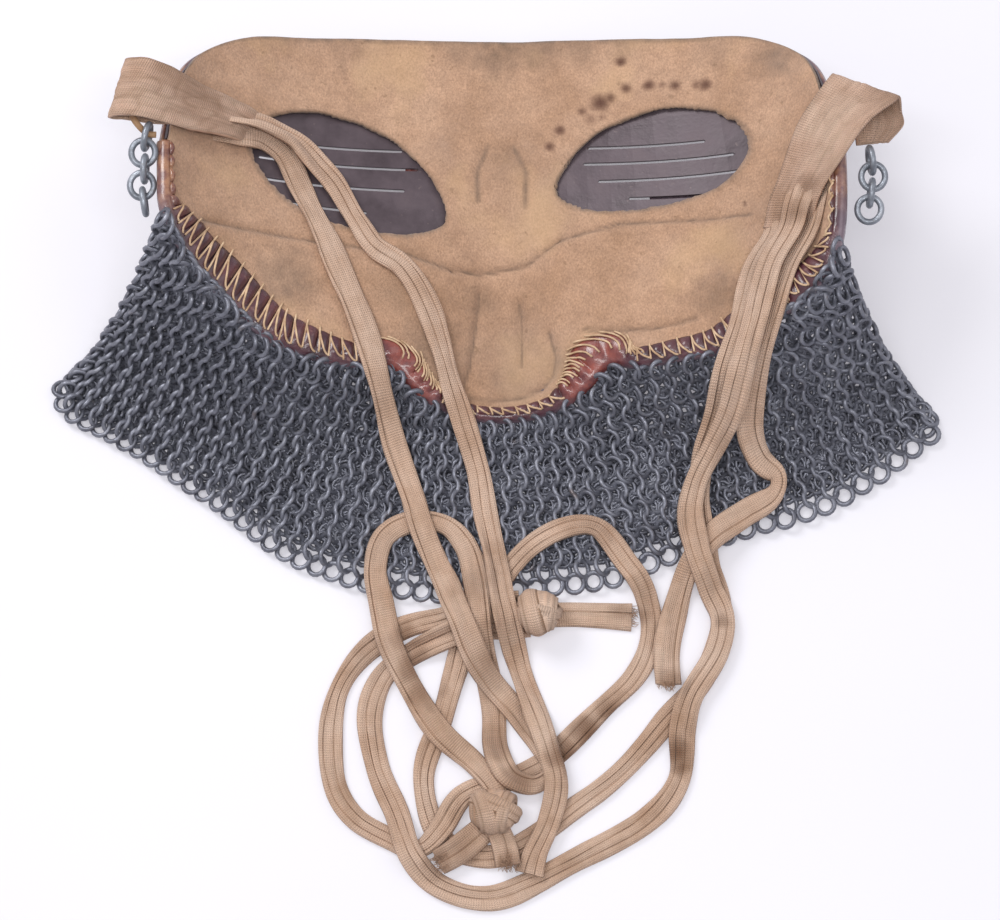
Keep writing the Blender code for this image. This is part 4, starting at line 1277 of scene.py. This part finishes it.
def cut_openings(vertices, faces, eyes, lift):
    """Drop the faces inside the eyes and draw the rim onto the outlines."""
    kept = []
    for face in faces:
        x = sum(vertices[v].x for v in face) / len(face)
        y = sum(vertices[v].y for v in face) / len(face)
        if not any(inside(x, y, eye) for eye in eyes):
            kept.append(face)
    owners = {}
    for face in kept:
        for a, b in zip(face, face[1:] + face[:1]):
            key = (min(a, b), max(a, b))
            owners[key] = owners.get(key, 0) + 1
    rim = {v for key, count in owners.items() if count == 1 for v in key}
    for v in rim:
        x, y = vertices[v].x, vertices[v].y
        gap, px, py = min(nearest_on(eye, x, y) for eye in eyes)
        if gap < EYE_RIM_REACH:
            ragged = 0.0005 * lumps(px, py, 0.0012, 4.0) + 0.0004 * lumps(px, py, 0.006, 4.5)
            vertices[v] = on_surface(px + ragged, py + ragged, lift)
    used = sorted({v for face in kept for v in face})
    order = {v: k for k, v in enumerate(used)}
    return [vertices[v] for v in used], [tuple(order[v] for v in face) for face in kept]


def make_lining(frames, brow, eyes, material):
    offset = PLATE_THICKNESS / 2 + LAYER_GAP + LINING_THICKNESS / 2
    vertices = []
    for top, (edge, outward, _) in zip(brow, frames):
        end = edge - outward * (band_width(edge.x) + BAND_GAP - LINING_TUCK)
        for k in range(LINING_ROWS + 1):
            flat = top.lerp(end, k / LINING_ROWS)
            vertices.append(on_surface(flat.x, flat.y, offset + lining_relief(flat.x, flat.y)))
    faces = grid_faces(len(brow), LINING_ROWS + 1)
    # The lining's top and last rows are darkened; the last row, tucked under the band, is painted
    # shade.
    rim_dark = {}
    for k, v in enumerate(vertices):
        row = k % (LINING_ROWS + 1)
        rim_dark[tuple(v)] = 0.85 if row == 0 else 0.5 * (row == 1) + 0.9 * (row == LINING_ROWS)
    vertices, faces = cut_openings(vertices, faces, eyes, offset + 0.0001)
    piece = build("chamois_hide", vertices, faces, "chamois", material, "chamois_lining")
    grime_and_shade = []
    for v in vertices:
        dark = max(stain_and_shade_spots(v.x, v.y, CHAMOIS_GRIME_AND_SHADE), rim_dark.get(tuple(v), 0.0))
        # Painted shade: dark lines along the creases and seams. The eye rims are darkened as well.
        for line, half_width, _ in CREASES:
            dark = max(dark, 0.8 * dent(v.x, v.y, line, max(half_width * 0.4, 0.0012)))
        rim = min(nearest_on(eye, v.x, v.y)[0] for eye in eyes)
        dark = max(dark, 0.75 * (1 - hat(rim, 0.0, 0.0016)))
        grime_and_shade.append(dark * (0.75 + 0.4 * lumps(v.x, v.y, 0.003, 7.0)))
    set_numbers(piece, "grime_and_shade", np.clip(grime_and_shade, 0, 1))
    set_numbers(piece, "stain", [stain_and_shade_spots(v.x, v.y, CHAMOIS_STAINS) for v in vertices])
    thicken(piece, LINING_THICKNESS)


def make_cover(frames, brow, eyes, material):
    """Leather over the outside, rolled over the lower edge into a puffy stitched band."""
    vertices = []
    outer = []
    red = []
    worn = []
    pinch_shade = []
    rows = COVER_ROWS + ROLL_ROWS + 1 + BAND_ROWS
    length = 0.0
    before = None
    for top, (edge, outward, normal) in zip(brow, frames):
        if before is not None:
            length += (edge - before).length
        before = edge
        puff = band_puff(length)
        seam = edge - outward * ROLL_REACH
        band = band_width(edge.x)
        for k in range(COVER_ROWS):
            flat = top.lerp(seam, k / COVER_ROWS)
            vertices.append(on_surface(flat.x, flat.y, COVER_OFFSET))
            outer.append(1.0)
        middle = seam + normal * ROLL_MIDDLE
        for k in range(ROLL_ROWS + 1):
            turn = math.pi * (k / ROLL_ROWS - 0.5)
            spoke = math.cos(turn) * outward + math.sin(turn) * normal
            here = ROLL_RADIUS * (1 + 0.05 * puff * hat(turn, -0.3, 1.2))
            vertices.append(middle + here * spoke)
            outer.append(1.0 - hat(turn, 0.25, 0.9))
        for k in range(1, BAND_ROWS + 1):
            share = k / BAND_ROWS
            flat = seam.lerp(edge - outward * band, share)
            height = BAND_PUFF * (puff - BAND_SLACK) * band_bulge(share) - BAND_DIP * share**3
            vertices.append(on_surface(flat.x, flat.y, ROLL_MIDDLE + ROLL_RADIUS + height))
            outer.append(0.0)
        # Painted shade for the band, dark where it dips between puffs and along its inner edge.
        pinch_shade += [0.0] * (rows - BAND_ROWS)
        pinch_shade += [max(0.85 * (1 - puff) ** 2, 0.8 * (k / BAND_ROWS) ** 6) for k in range(BAND_ROWS)]
        flank = hat(abs(edge.x), 0.019, 0.027) * (1 - hat(abs(edge.x), 0.036, 0.041))
        red += [flank] * rows
        bare = hat(edge.y, 0.013, 0.026) * (0.75 if edge.x < 0 else 0.55)
        worn += [bare] * rows
    faces = grid_faces(len(brow), rows)
    count = len(vertices)
    index = {tuple(v): k for k, v in enumerate(vertices)}
    vertices, faces = cut_openings(vertices, faces, eyes, COVER_OFFSET)
    piece = build("leather_hide", vertices, faces, "burgundy_leather", material, "leather_cover")
    kept = [index.get(tuple(v), count - 1) for v in vertices]
    set_numbers(piece, "outer", [1.0 if k == count - 1 else outer[k] for k in kept])
    for label, values in (("red", red), ("worn", worn), ("pinch_shade", pinch_shade)):
        set_numbers(piece, label, [values[k] for k in kept])
    thicken(piece, COVER_THICKNESS)


def band_point(frame_row, share, lift):
    """A place on the rolled band: share 0 at its outer side, 1 at its inner edge."""
    edge, outward, normal = frame_row
    seam = edge - outward * ROLL_REACH
    if share < 0:
        turn = math.pi / 2 + share * math.pi
        spoke = math.cos(turn) * outward + math.sin(turn) * normal
        return seam + normal * ROLL_MIDDLE + spoke * (ROLL_REACH + lift)
    flat = seam.lerp(edge - outward * band_width(edge.x), share)
    return on_surface(flat.x, flat.y, ROLL_MIDDLE + ROLL_REACH + lift)


def frame_at(frames, lengths, target):
    k = min(max(int(np.searchsorted(lengths, target)), 1), len(frames) - 1)
    share = (target - lengths[k - 1]) / (lengths[k] - lengths[k - 1])
    share = min(max(share, 0.0), 1.0)
    return tuple(a.lerp(b, share) for a, b in zip(frames[k - 1], frames[k]))


def make_thread(frames, material):
    """Sewing thread over the band: at each hole a straight stitch and a bowed one to the next."""
    lengths = [0.0]
    for a, b in zip(frames, frames[1:]):
        lengths.append(lengths[-1] + (b[0] - a[0]).length)
    vertices = []
    faces = []
    for k in range(int(lengths[-1] / STITCH_PITCH)):
        start = k * STITCH_PITCH
        x, y, _ = frame_at(frames, lengths, start)[0]
        if x < 0 and y > LEFT_STITCH_TOP:
            continue
        close = CLOSE_FROM < abs(x) < CLOSE_TO
        for shift, near, far, slant, bow in CLOSE_STITCHES if close else STITCHES:
            points = []
            near += RANDOM.uniform(-0.05, 0.05)
            far += RANDOM.uniform(-0.06, 0.06)
            slant += RANDOM.uniform(-0.12, 0.12)
            for step in range(THREAD_STEPS):
                share = step / (THREAD_STEPS - 1)
                along = start + STITCH_PITCH * (shift + slant * share)
                reach = far + (near - far) * (1 - share) ** bow
                puff = BAND_PUFF * (band_puff(along) - BAND_SLACK) * band_bulge(max(reach, 0))
                lift = THREAD_RADIUS * 0.7 + puff
                if reach > 1:
                    lift = THREAD_RADIUS * 0.5 - 0.0001
                points.append(band_point(frame_at(frames, lengths, along), reach, lift))
            add_strand(vertices, faces, points, THREAD_RADIUS, 6)
    build("edge_stitching", vertices, faces, "burgundy_leather", material)


# Mail
def mail_columns():
    frames = lower_frames(COLUMNS_PER_SIDE)
    first = next(i for i, row in enumerate(frames) if row[0].y < LEFT_MAIL_TOP)
    last = max(i for i, row in enumerate(frames) if row[0].y < RIGHT_MAIL_TOP)
    tops = [point + outward * MAIL_EDGE_GAP for point, outward, _ in frames[first : last + 1]]
    tops = smooth_path(tops, RING_COLUMNS * 2 + 1)
    hem = smooth_path(
        [Vector((x * MAIL_HALF_WIDTH, NOSE_Y + y * (HEM_Y - NOSE_Y), 0)) for x, y in MAIL_HEM],
        RING_COLUMNS * 2 + 1,
    )
    return tops, hem


def mail_point(tops, hem, u, v):
    """Place on the mail's middle surface, u in half columns and v from the mask to the hem."""
    i = min(max(int(u), 0), len(tops) - 2)
    share = u - i
    top = tops[i].lerp(tops[i + 1], share)
    end = hem[i].lerp(hem[i + 1], share)
    drop = max(top.z - MAIL_THICKNESS / 2, 0.0)
    run = math.hypot(end.x - top.x, end.y - top.y)
    landing = min((DRAPE_START + DRAPE_RUN * drop) / run, DRAPE_LONGEST)
    flat = top.lerp(end, v)
    fall = max(1 - v / landing, 0.0) ** 2
    bumps = 0.0006 * lumps(flat.x, flat.y, 0.02, 6.0) * (1 - v)
    return Vector((flat.x, flat.y, drop * fall + RING_LIFT + bumps))


def add_ring(vertices, faces, centre, ways, radius, wire, segments, sides, drawn=(1.0, 1.0)):
    """A round wire bent to a ring, drawn out along the first two of its three ways."""
    side, up, normal = ways
    start = len(vertices)
    for i in range(segments):
        turn = 2 * math.pi * i / segments
        spoke = side * math.cos(turn) + up * math.sin(turn)
        rim = side * math.cos(turn) * drawn[0] + up * math.sin(turn) * drawn[1]
        for k in range(sides):
            around = 2 * math.pi * k / sides
            out = rim * radius + spoke * wire * math.cos(around)
            vertices.append(centre + out + normal * wire * math.sin(around))
    add_grid(faces, start, segments, sides, closed_rows=True, closed_columns=True)


def ring_place(tops, hem, row, column):
    """Where a ring of the weave lies: its place and lean, and the ways along, down and up."""
    part = (column + 0.2) / RING_COLUMNS
    part = part * (1 - RING_SPREAD + RING_SPREAD * part)
    u = 2 * RING_COLUMNS * part
    run = (mail_point(tops, hem, u, 1.0) - mail_point(tops, hem, u, 0.0)).length
    pitch = table_value(ROW_PITCH, part)
    v = 1 - (row * pitch + RING_HEM) / run
    if part > 0.998 or v < -0.5 * pitch / run:
        return None
    v = max(v, 0.0)
    jitter = 0.16 * lumps(u, v * 40, 1.7, 8.0)
    place = mail_point(tops, hem, u + jitter, v)
    along = (mail_point(tops, hem, u + 0.4, v) - mail_point(tops, hem, u - 0.4, v)).normalized()
    above, below = max(v - 0.04, 0.0), min(v + 0.04, 1.0)
    down = mail_point(tops, hem, u, below) - mail_point(tops, hem, u, above)
    normal = down.cross(along).normalized()
    if normal.z < 0:
        normal = -normal
    return place, table_value(RING_LEAN, part), along, along.cross(normal).normalized(), normal


def add_leaning_ring(vertices, faces, place, lean, ways, segments, sides):
    along, down, normal = ways
    tilt = math.radians(lean + RANDOM.uniform(-7, 7))
    nod = math.radians(RANDOM.uniform(-8, 8))
    radius = RING_RADIUS * (1 + RANDOM.uniform(-0.03, 0.03))
    side = along * math.cos(tilt) + normal * math.sin(tilt)
    facing = normal * math.cos(tilt) - along * math.sin(tilt)
    ahead = down * math.cos(nod) + facing * math.sin(nod)
    face_way = facing * math.cos(nod) - down * math.sin(nod)
    reach = abs(radius * math.sin(tilt)) + RING_WIRE
    place.z = max(place.z, reach * 0.95 + 0.0002)
    add_ring(vertices, faces, place, (side, ahead, face_way), radius, RING_WIRE, segments, sides)


def make_mail_rings(material):
    """Rings of a four-in-one weave, counted from the hem. Every second row leans the other way.
    Rings of the lower course lie flat under the gaps, which closes the mail as it lies bunched."""
    tops, hem = mail_columns()
    vertices = []
    faces = []
    low_vertices = []
    low_faces = []
    for row in range(RING_ROWS):
        shift = 0.5 if row % 2 else 0.0
        for column in range(RING_COLUMNS):
            found = ring_place(tops, hem, row, column + shift)
            if found:
                place, lean, *ways = found
                lean *= (-1) ** row * (0.4 if row == 0 else 1.0)
                add_leaning_ring(vertices, faces, place, lean, ways, RING_SEGMENTS, RING_SIDES)
            for over, back in LOW_OFFSETS:
                found = ring_place(tops, hem, row + back, column + over + shift)
                if found and row > 1:
                    place, _, *ways = found
                    place -= ways[2] * LOW_COURSE
                    lean = LOW_LEAN * (-1) ** row
                    add_leaning_ring(
                        low_vertices, low_faces, place, lean, ways, LOW_SEGMENTS, LOW_SIDES
                    )
    for x, y in LONE_RINGS:
        place = Vector((x, y, RING_WIRE + 0.0004))
        ways = (Vector((1, 0, 0)), Vector((0, 1, 0)), Vector((0, 0, 1)))
        add_leaning_ring(vertices, faces, place, 0.0, ways, RING_SEGMENTS, RING_SIDES)
    build("mail_rings", vertices, faces, "mail_steel", material, "mail_curtain")
    build("mail_lower_course", low_vertices, low_faces, "mail_steel", material)


def make_chain(label, middles, material):
    """The larger links at a temple, each slightly drawn out."""
    places = [Vector(middle) for middle in middles]
    vertices = []
    faces = []
    for k, place in enumerate(places):
        along = heading(places, k).normalized()
        across = along.cross(Vector((0, 0, 1))).normalized()
        facing = across if k % 2 == 0 else across.cross(along).normalized()
        side = facing.cross(along).normalized()
        ways = (along, side, facing)
        add_ring(
            vertices, faces, place, ways, LINK_RADIUS, LINK_WIRE_RADIUS,
            LINK_SEGMENTS, LINK_SIDES, LINK_DRAWN,
        )
    nodes = [f"{label}_link_{k + 1}" for k in range(len(middles))]
    build(f"{label}_chain", vertices, faces, "link_steel", material, *nodes)


def make_thong(material):
    points = smooth_path([Vector(place) for place in THONG], 40)
    vertices = []
    faces = []
    add_strand(vertices, faces, points, THONG_RADIUS * 0.85, 10)
    build("thong", vertices, faces, "tan_leather", material, "left_thong")


def make_loop(name, node, rows, material, seed, rise, crinkle):
    """Wide cotton tape looped at a temple, with sewn rows and wrinkles."""
    count = STRAP_STEPS
    lanes = STRAP_LANES
    edges = []
    for side in np.linspace(-0.5, 0.5, 5):
        corners = [
            Vector(middle) + Vector(across).normalized() * (side * share * STRAP_WIDTH)
            for middle, share, across in rows
        ]
        edges.append(smooth_path(corners, count))
    vertices = []
    folds = []
    places = []
    length = 0.0
    for i in range(count):
        if i:
            length += (edges[2][i] - edges[2][i - 1]).length
        here = [edge[i] for edge in edges]
        ahead = heading(edges[2], i)
        for k in range(lanes):
            share = k / (lanes - 1)
            spot = catmull(here, share * 4)
            normal = ahead.cross(here[-1] - here[0]).normalized()
            wave = math.sin(share * 16.0 + 2.4 * lumps(length, share, 0.02, seed))
            part = i / count
            lift = rise * hat(part, 0.62, 0.78) - (rise + STRAP_END_LIFT) * hat(part, 0.86, 1.0)
            creased = abs(lumps(length * 0.35, share * 0.014, 0.0032, seed + 1)) ** 0.7
            lift += 0.00016 * wave + crinkle * (0.0007 * creased - 0.0002)
            vertices.append(spot + normal * lift)
            # Painted shade in the creases and wrinkle troughs.
            crease = crinkle * (1 - min(creased * 3.2, 1.0))
            folds.append(0.6 * crease + max(0.0, -wave - 0.7) * 0.6)
            places.append((share * STRAP_WIDTH, length))
    piece = build(name, vertices, grid_faces(count, lanes), "cotton_tape", material, node)
    set_numbers(piece, "fold", folds)
    set_numbers(piece, "stain", [stain_and_shade_spots(v.x, v.y, TAPE_STAINS) for v in vertices])
    set_uv(piece, places)
    thicken(piece, STRAP_THICKNESS)


def dress_plate(material):
    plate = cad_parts["face_plate"]
    plate.data.materials.clear()
    plate.data.materials.append(material)


def main():
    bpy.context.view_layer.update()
    make_camera()
    cotton = cotton_material(
        "cotton_tape_cloth", (0.60, 0.39, 0.27), (0.74, 0.52, 0.39), (0.82, 0.61, 0.48)
    )
    make_cords(cotton)
    make_studio()
    frames = lower_frames(FINE_COLUMNS)
    brow = across_mask(BROW_EDGE, BROW_EDGE, FINE_COLUMNS)
    eyes = fine_eyes()
    make_lining(frames, brow, eyes, chamois_material())
    cover_frames = lower_frames(COVER_COLUMNS)
    cover_brow = across_mask(BROW_EDGE, BROW_EDGE, COVER_COLUMNS)
    make_cover(cover_frames, cover_brow, eyes, leather_material())
    make_thread(cover_frames, thread_material())
    dress_plate(plate_material())
    mail = steel_material(
        "mail_wire", (0.115, 0.115, 0.14), (0.19, 0.195, 0.235), (0.30, 0.305, 0.35), 0.40
    )
    make_mail_rings(mail)
    links = steel_material(
        "link_wire", (0.17, 0.18, 0.21), (0.27, 0.29, 0.33), (0.42, 0.44, 0.49), 0.36
    )
    make_chain("left", LEFT_LINKS, links)
    make_chain("right", RIGHT_LINKS, links)
    make_thong(thong_material())
    strap = cotton_material(
        "strap_cloth", (0.52, 0.33, 0.23), (0.67, 0.45, 0.335), (0.76, 0.55, 0.42)
    )
    make_loop("left_loop", "left_tape_loop", LEFT_STRAP, strap, 3.0, 0.0014, 0.55)
    make_loop("right_loop", "right_tape_loop", RIGHT_STRAP, strap, 9.0, 0.0, 0.3)
    bpy.context.view_layer.update()


main()
